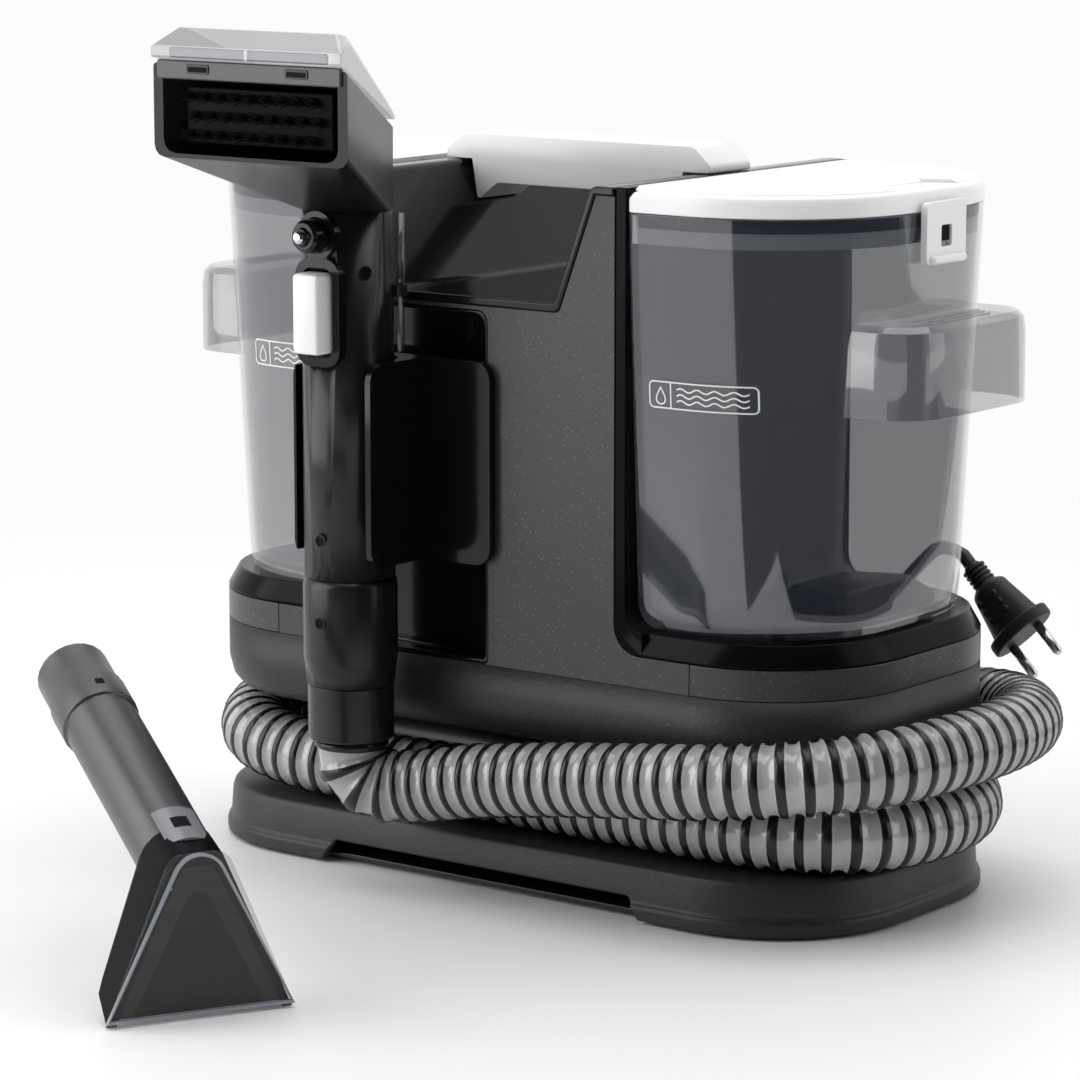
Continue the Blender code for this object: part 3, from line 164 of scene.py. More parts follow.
apron_shape = bmesh.new()
apron_height = 0.003
apron_corners = [apron_shape.verts.new((x, y, apron_height)) for x, y in
                 ((0.26, -0.50), (0.26, -2.4), (2.4, -2.4), (2.4, 1.4), (0.50, 1.4), (0.50, -0.50))]
apron_shape.faces.new(apron_corners)
apron_mesh = bpy.data.meshes.new("floor_flag")
apron_shape.to_mesh(apron_mesh)
apron_shape.free()
apron_mesh.materials.append(flag_cloth)
apron = bpy.data.objects.new("floor_flag", apron_mesh)
apron.visible_camera = False
apron.visible_diffuse = False
apron.visible_shadow = False
apron.visible_transmission = False
bpy.context.scene.collection.objects.link(apron)


# ---- hose: a thin translucent skin over a dark spiral rib ------------------------------------------
# The suction hose is blown in one piece, with a stiff dark rib every 10.6 mm and a pale skin that
# sinks a little between the ribs. It leaves the wand, goes round the machine twice and ends at a port.
HOSE_DIAMETER = 0.0365
HOSE_RIB_PITCH = 0.0106
HOSE_TAIL = 0.225
HOSE_ROUTE = [
    (-0.0545, -0.1250, 0.0743), (-0.0543, -0.1248, 0.0660), (-0.0500, -0.1225, 0.0560),
    (-0.0385, -0.1175, 0.0510), (-0.0220, -0.1130, 0.0525), (0.0130, -0.1110, 0.0595),
    (0.0610, -0.1108, 0.0670), (0.1080, -0.1105, 0.0730), (0.1500, -0.1085, 0.0780),
    (0.1880, -0.0920, 0.0820), (0.2120, -0.0600, 0.0845), (0.2220, -0.0180, 0.0860),
    (0.2220, 0.0250, 0.0860), (0.2100, 0.0660, 0.0845), (0.1820, 0.0980, 0.0815),
    (0.1430, 0.1130, 0.0770), (0.0950, 0.1160, 0.0710), (0.0450, 0.1140, 0.0660),
    (-0.0050, 0.1110, 0.0620), (-0.0550, 0.1070, 0.0590), (-0.1050, 0.0990, 0.0570),
    (-0.1500, 0.0820, 0.0570), (-0.1800, 0.0480, 0.0575), (-0.1905, 0.0050, 0.0580),
    (-0.1860, -0.0380, 0.0560), (-0.1630, -0.0680, 0.0520), (-0.1250, -0.0790, 0.0485),
    (-0.0800, -0.0765, 0.0467), (-0.0300, -0.0725, 0.0465), (0.0200, -0.0715, 0.0465),
    (0.0700, -0.0715, 0.0465), (0.1200, -0.0715, 0.0465), (0.1600, -0.0660, 0.0465),
    (0.1880, -0.0480, 0.0465), (0.2010, -0.0150, 0.0465), (0.2000, 0.0220, 0.0465),
    (0.1840, 0.0520, 0.0465), (0.1550, 0.0690, 0.0465), (0.1180, 0.0740, 0.0465),
    (0.0800, 0.0745, 0.0465),
]


def smooth_path(points, spacing):
    """Points at even steps along a centripetal Catmull-Rom curve through a route's points."""
    route = [Vector(point) for point in points]
    route = [2 * route[0] - route[1]] + route + [2 * route[-1] - route[-2]]
    fine = []
    for a, b, c, d in zip(route, route[1:], route[2:], route[3:]):
        t1 = (b - a).length ** 0.5
        t2 = t1 + (c - b).length ** 0.5
        t3 = t2 + (d - c).length ** 0.5
        for step in range(24):
            t = t1 + (t2 - t1) * step / 24
            a1 = a * ((t1 - t) / t1) + b * (t / t1)
            a2 = b * ((t2 - t) / (t2 - t1)) + c * ((t - t1) / (t2 - t1))
            a3 = c * ((t3 - t) / (t3 - t2)) + d * ((t - t2) / (t3 - t2))
            b1 = a1 * ((t2 - t) / t2) + a2 * (t / t2)
            b2 = a2 * ((t3 - t) / (t3 - t1)) + a3 * ((t - t1) / (t3 - t1))
            fine.append(b1 * ((t2 - t) / (t2 - t1)) + b2 * ((t - t1) / (t2 - t1)))
    fine.append(route[-2])
    return even_steps(fine, spacing)


def even_steps(fine, spacing):
    """The same line with its points a set distance apart."""
    lengths = [0.0]
    for a, b in zip(fine, fine[1:]):
        lengths.append(lengths[-1] + (b - a).length)
    count = max(2, round(lengths[-1] / spacing))
    even = []
    index = 0
    for step in range(count + 1):
        target = lengths[-1] * step / count
        while index < len(fine) - 2 and lengths[index + 1] < target:
            index += 1
        part = (target - lengths[index]) / max(lengths[index + 1] - lengths[index], 1e-9)
        even.append(fine[index].lerp(fine[index + 1], min(part, 1.0)))
    return even


def link_mesh(name, shape, finishes, smooth_angle=35):
    """Makes a piece from a bmesh, with outward faces, smooth where it is round."""
    bmesh.ops.recalc_face_normals(shape, faces=shape.faces)
    mesh = bpy.data.meshes.new(name)
    shape.to_mesh(mesh)
    shape.free()
    for finish in finishes:
        mesh.materials.append(finish)
    mesh.shade_smooth()
    mesh.set_sharp_from_angle(angle=math.radians(smooth_angle))
    piece = bpy.data.objects.new(name, mesh)
    bpy.context.scene.collection.objects.link(piece)
    return piece


def sweep(name, points, radius_at, finish_at, finishes, sides=28, smooth_angle=60):
    """A round skin along a line; the radius and the finish are given for each step along it."""
    axes = []
    for index in range(len(points)):
        axes.append((points[min(index + 1, len(points) - 1)] - points[max(index - 1, 0)]).normalized())
    turn = Vector((0, 0, 1)).rotation_difference(axes[0]).to_matrix()
    shape = bmesh.new()
    rows = []
    for index, point in enumerate(points):
        if index:
            turn = axes[index - 1].rotation_difference(axes[index]).to_matrix() @ turn
        row = []
        for step in range(sides):
            angle = 2 * math.pi * step / sides
            offset = Vector((math.cos(angle), math.sin(angle), 0)) * radius_at(index)
            row.append(shape.verts.new(point + turn @ offset))
        rows.append(row)
    for index, (low, high) in enumerate(zip(rows, rows[1:])):
        for here in range(sides):
            after = (here + 1) % sides
            face = shape.faces.new((low[here], low[after], high[after], high[here]))
            face.material_index = finish_at(index)
    shape.faces.new(rows[0])
    shape.faces.new(rows[-1])
    return link_mesh(name, shape, finishes, smooth_angle)


def moulded(name, colour, roughness, grain=1400, depth=0.00002, mottle=0.10, flecks=0.0, metallic=0.0,
             specular=0.5):
    """A moulded finish: slight colour and gloss variation, a fine surface grain and pale flecks if asked."""
    made = bpy.data.materials.new(name)
    made.use_nodes = True
    tree = made.node_tree
    shader = tree.nodes["Principled BSDF"]
    shader.inputs["Metallic"].default_value = metallic
    shader.inputs["Specular IOR Level"].default_value = specular
    place = tree.nodes.new("ShaderNodeTexCoord")
    cloud = tree.nodes.new("ShaderNodeTexNoise")
    cloud.inputs["Scale"].default_value = 14
    cloud.inputs["Detail"].default_value = 3
    tree.links.new(place.outputs["Object"], cloud.inputs["Vector"])
    shade = tree.nodes.new("ShaderNodeMix")
    shade.data_type = "RGBA"
    tree.links.new(cloud.outputs["Fac"], shade.inputs[0])
    shade.inputs[6].default_value = (*[c * (1 - mottle) for c in colour], 1)
    shade.inputs[7].default_value = (*[min(c * (1 + mottle), 1) for c in colour], 1)
    last_colour = shade.outputs[2]
    gloss = tree.nodes.new("ShaderNodeMapRange")
    tree.links.new(cloud.outputs["Fac"], gloss.inputs["Value"])
    gloss.inputs["To Min"].default_value = roughness * 0.88
    gloss.inputs["To Max"].default_value = min(roughness * 1.12, 1)
    tree.links.new(gloss.outputs["Result"], shader.inputs["Roughness"])
    if flecks:
        cells = tree.nodes.new("ShaderNodeTexVoronoi")
        cells.inputs["Scale"].default_value = 640
        tree.links.new(place.outputs["Object"], cells.inputs["Vector"])
        near = tree.nodes.new("ShaderNodeMapRange")
        near.inputs["From Min"].default_value = 0.20
        near.inputs["From Max"].default_value = 0.10
        tree.links.new(cells.outputs["Distance"], near.inputs["Value"])
        chosen = tree.nodes.new("ShaderNodeMath")
        chosen.operation = "GREATER_THAN"
        chosen.inputs[1].default_value = 1 - flecks
        parts = tree.nodes.new("ShaderNodeSeparateColor")
        tree.links.new(cells.outputs["Color"], parts.inputs[0])
        tree.links.new(parts.outputs[0], chosen.inputs[0])
        both = tree.nodes.new("ShaderNodeMath")
        both.operation = "MULTIPLY"
        tree.links.new(near.outputs["Result"], both.inputs[0])
        tree.links.new(chosen.outputs[0], both.inputs[1])
        fleck = tree.nodes.new("ShaderNodeMix")
        fleck.data_type = "RGBA"
        tree.links.new(both.outputs[0], fleck.inputs[0])
        tree.links.new(last_colour, fleck.inputs[6])
        fleck.inputs[7].default_value = (0.26, 0.27, 0.28, 1)
        last_colour = fleck.outputs[2]
    tree.links.new(last_colour, shader.inputs["Base Color"])
    fine = tree.nodes.new("ShaderNodeTexNoise")
    fine.inputs["Scale"].default_value = grain
    fine.inputs["Detail"].default_value = 2
    tree.links.new(place.outputs["Object"], fine.inputs["Vector"])
    bump = tree.nodes.new("ShaderNodeBump")
    bump.inputs["Strength"].default_value = 0.6
    bump.inputs["Distance"].default_value = depth
    tree.links.new(fine.outputs["Fac"], bump.inputs["Height"])
    tree.links.new(bump.outputs["Normal"], shader.inputs["Normal"])
    return made


hose_skin = moulded("hose_skin", (0.37, 0.37, 0.38), 0.13, grain=150, depth=0.0009, mottle=0.50, specular=1.0)
hose_rib = moulded("hose_rib", (0.006, 0.006, 0.007), 0.24, specular=0.4)
hose_line = smooth_path(HOSE_ROUTE, HOSE_RIB_PITCH / 8)
hose_profile = (
    (-0.0004, 1), (0.00035, 1), (0.00035, 1), (-0.0004, 0),
    (-0.0016, 0), (-0.0019, 0), (-0.0019, 0), (-0.0016, 0),
)
tail_steps = round(HOSE_TAIL / (HOSE_RIB_PITCH / 8))
for name, first, last in (("hose_tail", 0, tail_steps), ("hose_run", tail_steps, len(hose_line) - 1)):
    line = hose_line[first:last + 1]
    widest = HOSE_DIAMETER / 2 - 0.00035

    def hose_radius(index, first=first):
        return widest + hose_profile[(index + first) % 8][0]

    def hose_finish(index, first=first):
        return hose_profile[(index + first) % 8][1]

    piece = sweep(name, line, hose_radius, hose_finish, [hose_skin, hose_rib])
    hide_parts("hose")
    if name == "hose_tail":
        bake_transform(piece)
    else:
        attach(piece, "machine")


# ---- power cord: a round sheathed lead wound on two hooks behind the machine -----------------------
# A round 7 mm lead with a matt sheath leaves a rubber gland low on the back, is wound on two hooks
# in four rows of three turns, and ends in a moulded two-pin plug that hangs at the right rear.
CORD_DIAMETER = 0.0070
COIL_ROWS = 4
COIL_LAYERS = 3
COIL_STRAIGHT = 0.0450
COIL_TURN_RADIUS = 0.0310
coil_low, coil_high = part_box("cord_coil")
coil_middle = (coil_low + coil_high) / 2
gland_low, gland_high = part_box("cord_gland")
gland_exit = Vector(((gland_low.x + gland_high.x) / 2, gland_high.y + 0.0006,
                      (gland_low.z + gland_high.z) / 2))


def coil_point(turn_part, radius, y):
    """A place on one turn of the winding: a racetrack with round ends, begun at the left side's middle."""
    reach = COIL_STRAIGHT
    arc = math.pi * radius
    along = (turn_part % 1.0) * (2 * arc + 4 * reach)
    if along < reach:
        x, z = -radius, -along
    elif along < reach + arc:
        angle = (along - reach) / radius
        x, z = -radius * math.cos(angle), -reach - radius * math.sin(angle)
    elif along < 3 * reach + arc:
        x, z = radius, along - 2 * reach - arc
    elif along < 3 * reach + 2 * arc:
        angle = (along - 3 * reach - arc) / radius
        x, z = radius * math.cos(angle), reach + radius * math.sin(angle)
    else:
        x, z = -radius, reach - (along - 3 * reach - 2 * arc)
    return Vector((x, y, coil_middle.z + z))


cord_points = [
    gland_exit, gland_exit + Vector((0, 0.005, 0)), gland_exit + Vector((0, 0.010, 0.006)),
    gland_exit + Vector((0.001, 0.009, 0.018)), gland_exit + Vector((0.007, 0.000, 0.034)),
    gland_exit + Vector((0.014, -0.009, 0.052)),
]
order = []
for row in range(COIL_ROWS):
    layers = range(COIL_LAYERS) if row % 2 else reversed(range(COIL_LAYERS))
    order += [(row, layer) for layer in layers]
steps_a_turn = 36
for turn, (row, layer) in enumerate(order):
    next_row, next_layer = order[min(turn + 1, len(order) - 1)]
    here_radius = COIL_TURN_RADIUS + layer * CORD_DIAMETER
    next_radius = COIL_TURN_RADIUS + next_layer * CORD_DIAMETER
    here_y = coil_low.y + (row + 0.5) * CORD_DIAMETER
    next_y = coil_low.y + (next_row + 0.5) * CORD_DIAMETER
    turn_steps = steps_a_turn if turn + 1 < len(order) else steps_a_turn // 2 + 1
    for step in range(turn_steps):
        part = step / steps_a_turn
        shift = max(0.0, min(1.0, (part - 0.80) / 0.20))
        shift = shift * shift * (3 - 2 * shift)
        radius = here_radius + (next_radius - here_radius) * shift
        cord_points.append(coil_point(part, radius, here_y + (next_y - here_y) * shift))
plug_start = Vector((0.1460, 0.1180, 0.1460))
plug_axis = Vector((1.0, 0.0, -1.0)).normalized()
cord_points += [
    Vector((0.0560, 0.1200, 0.1560)), Vector((0.0650, 0.1175, 0.1400)), Vector((0.0800, 0.1170, 0.1270)),
    Vector((0.1000, 0.1180, 0.1280)), Vector((0.1160, 0.1183, 0.1430)), Vector((0.1280, 0.1181, 0.1530)),
    plug_start - plug_axis * 0.007, plug_start - plug_axis * 0.0003,
]
cord_line = smooth_path(cord_points, 0.0060)
cord_curve = bpy.data.curves.new("power_cord", "CURVE")
cord_curve.dimensions = "3D"
cord_curve.bevel_depth = CORD_DIAMETER / 2
cord_curve.bevel_resolution = 3
cord_curve.use_fill_caps = True
cord_spline = cord_curve.splines.new("POLY")
cord_spline.points.add(len(cord_line) - 1)
for point, place in zip(cord_spline.points, cord_line):
    point.co = (*place, 1.0)
cord_sheath = moulded("cord_sheath", (0.016, 0.016, 0.017), 0.45, grain=900, depth=0.00005)
cord_curve.materials.append(cord_sheath)
power_cord = bpy.data.objects.new("power_cord", cord_curve)
bpy.context.scene.collection.objects.link(power_cord)
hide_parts("cord_lead", "cord_coil", "cord_tail")
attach(power_cord, "machine")


def dress(node, finish, edge=0.0, segments=2, angle=34):
    """Gives a frame part its finish, and rounds its edges by a moulder's radius."""
    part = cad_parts[node]
    part.data.materials.clear()
    part.data.materials.append(finish)
    for layer in ("custom_normal", "sharp_edge", "sharp_face"):
        if layer in part.data.attributes:
            part.data.attributes.remove(part.data.attributes[layer])
    part.data.shade_smooth()
    weld = part.modifiers.new("weld", "WELD")
    weld.merge_threshold = 0.00001
    if edge:
        flat = part.modifiers.new("flat_faces", "DECIMATE")
        flat.decimate_type = "DISSOLVE"
        flat.angle_limit = math.radians(1.0)
        rounding = part.modifiers.new("rounded_edges", "BEVEL")
        rounding.width = edge
        rounding.segments = segments
        rounding.limit_method = "ANGLE"
        rounding.angle_limit = math.radians(angle)
        rounding.harden_normals = True
    return part


rubber = moulded("black_rubber", (0.018, 0.018, 0.018), 0.55, grain=700, depth=0.00006)
pin_metal = moulded("pin_metal", (0.62, 0.62, 0.64), 0.20, metallic=1.0)
dress("cord_gland", rubber, 0.0006)
dress("plug_body", rubber, 0.0012)
dress("plug_pin_line", pin_metal)
dress("plug_pin_neutral", pin_metal)


def loft(name, loops, finishes, ring=False, smooth_angle=35):
    """Skins a row of loops with the same number of points; the ends are capped, or joined if it is a ring."""
    shape = bmesh.new()
    rows = [[shape.verts.new(point) for point in loop] for loop in loops]
    pairs = list(zip(rows, rows[1:]))
    if ring:
        pairs.append((rows[-1], rows[0]))
    for low, high in pairs:
        for here in range(len(low)):
            after = (here + 1) % len(low)
            shape.faces.new((low[here], low[after], high[after], high[here]))
    if not ring:
        shape.faces.new(rows[0])
        shape.faces.new(rows[-1])
    return link_mesh(name, shape, finishes, smooth_angle)


def circle(centre, axis, radius, count=32):
    """A ring of points square to an axis."""
    turn = Vector((0, 0, 1)).rotation_difference(Vector(axis).normalized())
    ring = []
    for step in range(count):
        angle = 2 * math.pi * step / count
        ring.append(Vector(centre) + turn @ Vector((radius * math.cos(angle), radius * math.sin(angle), 0)))
    return ring


def turned(name, profile, centre, axis, finishes, ring=False, count=32):
    """A turned piece: profile is (radius, distance along the axis) from the centre."""
    along_axis = Vector(axis).normalized()
    loops = [circle(Vector(centre) + along_axis * along, axis, radius, count) for radius, along in profile]
    return loft(name, loops, finishes, ring)


for number in range(5):
    ring_place = plug_start + plug_axis * (0.0020 + number * 0.0026)
    relief = turned(f"plug_relief_ring_{number + 1}",
                    ((0.0048, 0.0), (0.0062, 0.0003), (0.0062, 0.0013), (0.0048, 0.0016)),
                    ring_place, plug_axis, [rubber], count=24)
    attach(relief, "machine")
plug_side = plug_axis.cross(Vector((0, 1, 0))).normalized()
for number in range(6):
    row, column = divmod(number, 2)
    place = plug_start + plug_axis * (0.0205 + row * 0.0050) + plug_side * ((column - 0.5) * 0.0100)
    pad = turned(f"plug_grip_dot_{number + 1}", ((0.0019, -0.0005), (0.0017, 0.0004), (0.0009, 0.0009)),
                 place - Vector((0, 0.0081, 0)), (0, -1, 0), [rubber], count=14)
    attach(pad, "machine")


# ---- base: the pan, its cover plate and its feet ---------------------------------------------------
# The base pan is one grained moulding, open underneath, with a long relief cut in its front edge.
# A flat plate is screwed in from below, and four rubber feet are stuck to the plate.
grained = bpy.data.materials.new("grained_casing")
grained.use_nodes = True
leather = grained.node_tree
leather_place = leather.nodes.new("ShaderNodeTexCoord")
pebbles = leather.nodes.new("ShaderNodeTexVoronoi")
pebbles.feature = "SMOOTH_F1"
pebbles.inputs["Scale"].default_value = 620
pebbles.inputs["Smoothness"].default_value = 0.5
wrinkles = leather.nodes.new("ShaderNodeTexNoise")
wrinkles.inputs["Scale"].default_value = 380
wrinkles.inputs["Detail"].default_value = 4
leather.links.new(leather_place.outputs["Object"], pebbles.inputs["Vector"])
leather.links.new(leather_place.outputs["Object"], wrinkles.inputs["Vector"])
grain_height = leather.nodes.new("ShaderNodeMath")
grain_height.operation = "ADD"
leather.links.new(pebbles.outputs["Distance"], grain_height.inputs[0])
leather.links.new(wrinkles.outputs["Fac"], grain_height.inputs[1])
grain_bump = leather.nodes.new("ShaderNodeBump")
grain_bump.inputs["Strength"].default_value = 0.55
grain_bump.inputs["Distance"].default_value = 0.00014
leather.links.new(grain_height.outputs[0], grain_bump.inputs["Height"])
grained_shader = leather.nodes["Principled BSDF"]
leather.links.new(grain_bump.outputs["Normal"], grained_shader.inputs["Normal"])
grain_tone = leather.nodes.new("ShaderNodeMix")
grain_tone.data_type = "RGBA"
grain_tone.inputs[6].default_value = (0.017, 0.017, 0.018, 1)
grain_tone.inputs[7].default_value = (0.028, 0.028, 0.030, 1)
leather.links.new(wrinkles.outputs["Fac"], grain_tone.inputs[0])
leather.links.new(grain_tone.outputs[2], grained_shader.inputs["Base Color"])
grained_shader.inputs["Roughness"].default_value = 0.42
grained_shader.inputs["Specular IOR Level"].default_value = 0.32

satin_black = moulded("satin_black", (0.0085, 0.0085, 0.009), 0.27, grain=1800, depth=0.00002,
                      specular=0.38)
dress("base_pan", grained, 0.0012, 3)
dress("bottom_cover", satin_black, 0.0006)
for number in range(1, 5):
    dress(f"foot_{number}", rubber)


# ---- hose drum and port ----------------------------------------------------------------------------
# The drum between the base and the body is a plain oval wall that the hose is wound round. A short
# elbow at the back takes the end of the hose through it.
dress("hose_drum", satin_black)
dress("hose_port", satin_black)


# ---- body: grained tub and speckled band, panels, seats and saddle ---------------------------------
# The tub has the base's leather grain; the band and the two panels above it are charcoal with fine
# pale flecks. The tank seats, the hand pocket's trough and the wand recess are polished black.
speckled = moulded("speckled_casing", (0.030, 0.030, 0.032), 0.36, grain=1500, depth=0.00003,
                   mottle=0.06, flecks=0.30)
gloss_black = moulded("gloss_black", (0.005, 0.005, 0.0055), 0.11, grain=60, depth=0.00003, specular=0.30)
dress("lower_body", grained)
dress("waist_band", speckled, 0.0005)
dress("front_panel", speckled, 0.0008)
dress("rear_panel", speckled, 0.0008)
seat_black = moulded("seat_black", (0.003, 0.003, 0.0035), 0.20, grain=60, depth=0.00003, specular=0.07)
dress("clear_tank_seat", seat_black, 0.0008, 3)
dress("dirty_tank_seat", seat_black, 0.0008, 3)
dress("saddle", gloss_black, 0.0010, 3)
dress("dock_liner", gloss_black, 0.0010, 3)
dress("wand_clip", gloss_black, 0.0014, 3)


# ---- carry handle, lids, latches and power button --------------------------------------------------
# The handle and the two lids are white, lightly polished mouldings. Each lid has a raised top with a
# finger notch, a pale skirt that drops inside the tank, and a sprung latch with a window and a lip.
white = moulded("white_plastic", (0.90, 0.90, 0.905), 0.26, grain=900, depth=0.00002, mottle=0.01)
skirt_plastic = moulded("lid_skirt", (0.50, 0.53, 0.57), 0.25, mottle=0.04)
# This matt near-black is the brush block's own colour, and also painted shade on the plates and plugs that
# stand in for holes, slots, windows and the tool's channel.
black_and_painted_shade = moulded("black_and_painted_shade", (0.0025, 0.0025, 0.0028), 0.60, specular=0.10)
dress("carry_handle", white, 0.0016, 3)
dress("power_button", white, 0.0006)


def rounded_rectangle(width, height, corner, steps=4):
    """Corner points of a rectangle with round corners, about its middle."""
    points = []
    for side, rise, start in ((1, 1, 0), (-1, 1, 90), (-1, -1, 180), (1, -1, 270)):
        for step in range(steps + 1):
            angle = math.radians(start + 90 * step / steps)
            points.append((side * (width / 2 - corner) + corner * math.cos(angle),
                           rise * (height / 2 - corner) + corner * math.sin(angle)))
    return points


def mount(piece, body):
    """Fixes a piece to a body."""
    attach(piece, body)
    return piece


def tablet(name, centre, across, up, size, corner, finish, body, edge=0.0004):
    """A flat moulded tablet with a softened rim; it faces the way that across turned into up points."""
    across = Vector(across).normalized()
    up = Vector(up).normalized()
    outward = across.cross(up)
    width, height, depth = size
    loops = []
    for inset, along in ((0.0, 0.0), (0.0, depth - edge), (edge, depth)):
        ring = rounded_rectangle(width - 2 * inset, height - 2 * inset, max(corner - inset, 0.0001))
        loops.append([Vector(centre) + across * x + up * y + outward * along for x, y in ring])
    return mount(loft(name, loops, [finish]), body)


def tank_plan(inset, direction, z, notch=None):
    """A tank's outline at one height: straight beside the body, round at both outer corners."""
    radius = 0.0780 - inset
    points = [(0.0905, -0.0195 - radius)]
    for middle, start in ((-0.0195, -90), (0.0195, 0)):
        for step in range(19):
            angle = math.radians(start + 90 * step / 18)
            points.append((0.1190 + radius * math.cos(angle), middle + radius * math.sin(angle)))
    points.append((0.0905, 0.0195 + radius))
    if notch:
        points = [(min(x, notch) if abs(y) < 0.0235 else x, y) for x, y in points]
    return [Vector((direction * x, y, z)) for x, y in points]


for direction, tank, lid in ((1, "clear", "clear_lid"), (-1, "dirty", "dirty_lid")):
    dress(f"{tank}_tank_lid", white, 0.0007, 3)
    dress(f"{tank}_tank_seal", rubber)
    dress(f"{tank}_tank_latch", white, 0.0009, 3)
    lid_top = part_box(f"{tank}_tank_lid")[1].z
    raised = [tank_plan(0.0060, direction, lid_top - 0.0006, 0.1760),
              tank_plan(0.0060, direction, lid_top + 0.0002, 0.1760),
              tank_plan(0.0085, direction, lid_top + 0.0016, 0.1735)]
    mount(loft(f"{tank}_lid_raised_top", raised, [white]), lid)
    skirt = [tank_plan(0.0034, direction, 0.3215), tank_plan(0.0034, direction, 0.3345),
             tank_plan(0.0046, direction, 0.3345), tank_plan(0.0046, direction, 0.3215)]
    mount(loft(f"{tank}_lid_skirt", skirt, [skirt_plastic], ring=True), lid)
    latch_low, latch_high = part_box(f"{tank}_tank_latch")
    outer = latch_high.x if direction > 0 else latch_low.x
    across = (0, direction, 0)
    latch_middle = (latch_low.z + latch_high.z) / 2
    # The latch window is a thin matt black tablet inside the opening: painted shade in place of the hollow
    # behind it.
    tablet(f"{tank}_latch_window", (outer - direction * 0.0014, 0, latch_middle + 0.0010), across, (0, 0, 1),
           (0.0076, 0.0100, 0.0005), 0.0008, black_and_painted_shade, f"{tank}_latch", 0.0001)
    tablet(f"{tank}_latch_lip", (outer - direction * 0.0006, 0, latch_low.z + 0.0022), across, (0, 0, 1),
           (0.0290, 0.0038, 0.0034), 0.0016, white, f"{tank}_latch", 0.0010)


# ---- tanks -----------------------------------------------------------------------------------------
# Both tanks are blown from smoked clear plastic about 2.3 mm thick, narrower at the foot, with a
# hollow grip on the end that has three low ribs. A plain droplet mark is printed in white on each.
def clear_moulding(name, colour, alpha, roughness=0.04, specular=1.0):
    """A see-through moulding with a hard polish and a faint unevenness in its gloss."""
    made = moulded(name, colour, roughness, grain=30, depth=0.00004, mottle=0.05, specular=specular)
    made.node_tree.nodes["Principled BSDF"].inputs["Alpha"].default_value = alpha
    made.node_tree.nodes["Principled BSDF"].inputs["Coat Weight"].default_value = 1.0
    made.node_tree.nodes["Principled BSDF"].inputs["Coat Roughness"].default_value = 0.03
    made.node_tree.nodes["Principled BSDF"].inputs["IOR"].default_value = 1.85
    return made


smoked = clear_moulding("smoked_tank", (0.040, 0.050, 0.070), 0.365)
clear = clear_moulding("clear_plastic", (0.030, 0.036, 0.045), 0.40)
dress("clear_tank", smoked, 0.0006)
dress("dirty_tank", smoked, 0.0006)
dress("clear_tank_strainer", satin_black, 0.0015, 3)
for node in ("clear_tank_valve", "dirty_tank_riser", "dirty_tank_float", "float_stop"):
    dress(node, satin_black)
print_white = moulded("printed_mark", (0.82, 0.82, 0.82), 0.45, mottle=0.02)


def on_tank_front(x, z, out):
    """A place on the front wall of either tank, a little way out from it."""
    radius = 0.0780 - 0.0090 * (0.3356 - z) / (0.3356 - 0.1500)
    bend = max(0.0, abs(x) - 0.1190)
    return Vector((x, -(0.0195 + math.sqrt(radius * radius - bend * bend)) - out, z))


def printed(name, lines, body):
    """Thin printed lines laid on a tank's front wall; each line is its points and whether it closes."""
    shape = bmesh.new()
    for points, closed in lines:
        rows = []
        for index, (x, z) in enumerate(points):
            before = points[index - 1] if index or closed else points[0]
            after = points[(index + 1) % len(points)] if index + 1 < len(points) or closed else points[-1]
            along = Vector((after[0] - before[0], after[1] - before[1])).normalized()
            side = Vector((-along.y, along.x)) * 0.00034
            edge_points = ((side, 0.00018), (-side, 0.00018), (-side, 0.00005), (side, 0.00005))
            rows.append([shape.verts.new(on_tank_front(x + e.x, z + e.y, out)) for e, out in edge_points])
        pairs = list(zip(rows, rows[1:])) + ([(rows[-1], rows[0])] if closed else [])
        for low, high in pairs:
            for here in range(4):
                shape.faces.new((low[here], low[(here + 1) % 4], high[(here + 1) % 4], high[here]))
        if not closed:
            shape.faces.new(rows[0])
            shape.faces.new(rows[-1])
    return mount(link_mesh(name, shape, [print_white]), body)


for tank, left, right in (("clear", 0.1004, 0.1550), ("dirty", -0.1440, -0.0950)):
    middle_x = (left + right) / 2
    middle_z = 0.2525
    corners = rounded_rectangle(right - left, 0.0122, 0.0022)
    border = []
    for a, b in zip(corners, corners[1:] + corners[:1]):
        pieces = max(1, round(math.dist(a, b) / 0.003))
        for step in range(pieces):
            part = step / pieces
            border.append((middle_x + a[0] + (b[0] - a[0]) * part, middle_z + a[1] + (b[1] - a[1]) * part))
    drop = []
    for step in range(24):
        t = 2 * math.pi * step / 24
        drop.append((left + 0.0062 + 0.0036 * math.sin(t) * math.sin(t / 2) ** 1.5,
                     middle_z - 0.0004 + 0.0040 * math.cos(t)))
    divider = [(left + 0.0118, middle_z - 0.0058 + 0.0116 * step / 4) for step in range(5)]
    printed_lines = [(border, True), (drop, True), (divider, False)]
    for rise in (-0.0028, 0.0, 0.0028):
        wave = []
        for step in range(41):
            part = step / 40
            x = left + 0.0152 + (right - left - 0.0190) * part
            wave.append((x, middle_z + rise + 0.0008 * math.sin(part * math.pi * 8)))
        printed_lines.append((wave, False))
    printed(f"{tank}_tank_mark", printed_lines, f"{tank}_tank")
for direction, tank in ((1, "clear"), (-1, "dirty")):
    for number, reach in enumerate((0.2025, 0.2080, 0.2135), 1):
        tablet(f"{tank}_grip_rib_{number}", (direction * reach, 0, 0.2866), (1, 0, 0), (0, 1, 0),
               (0.0020, 0.0640 - 0.0080 * number, 0.0012), 0.0009, smoked,
               f"{tank}_tank", 0.0004)


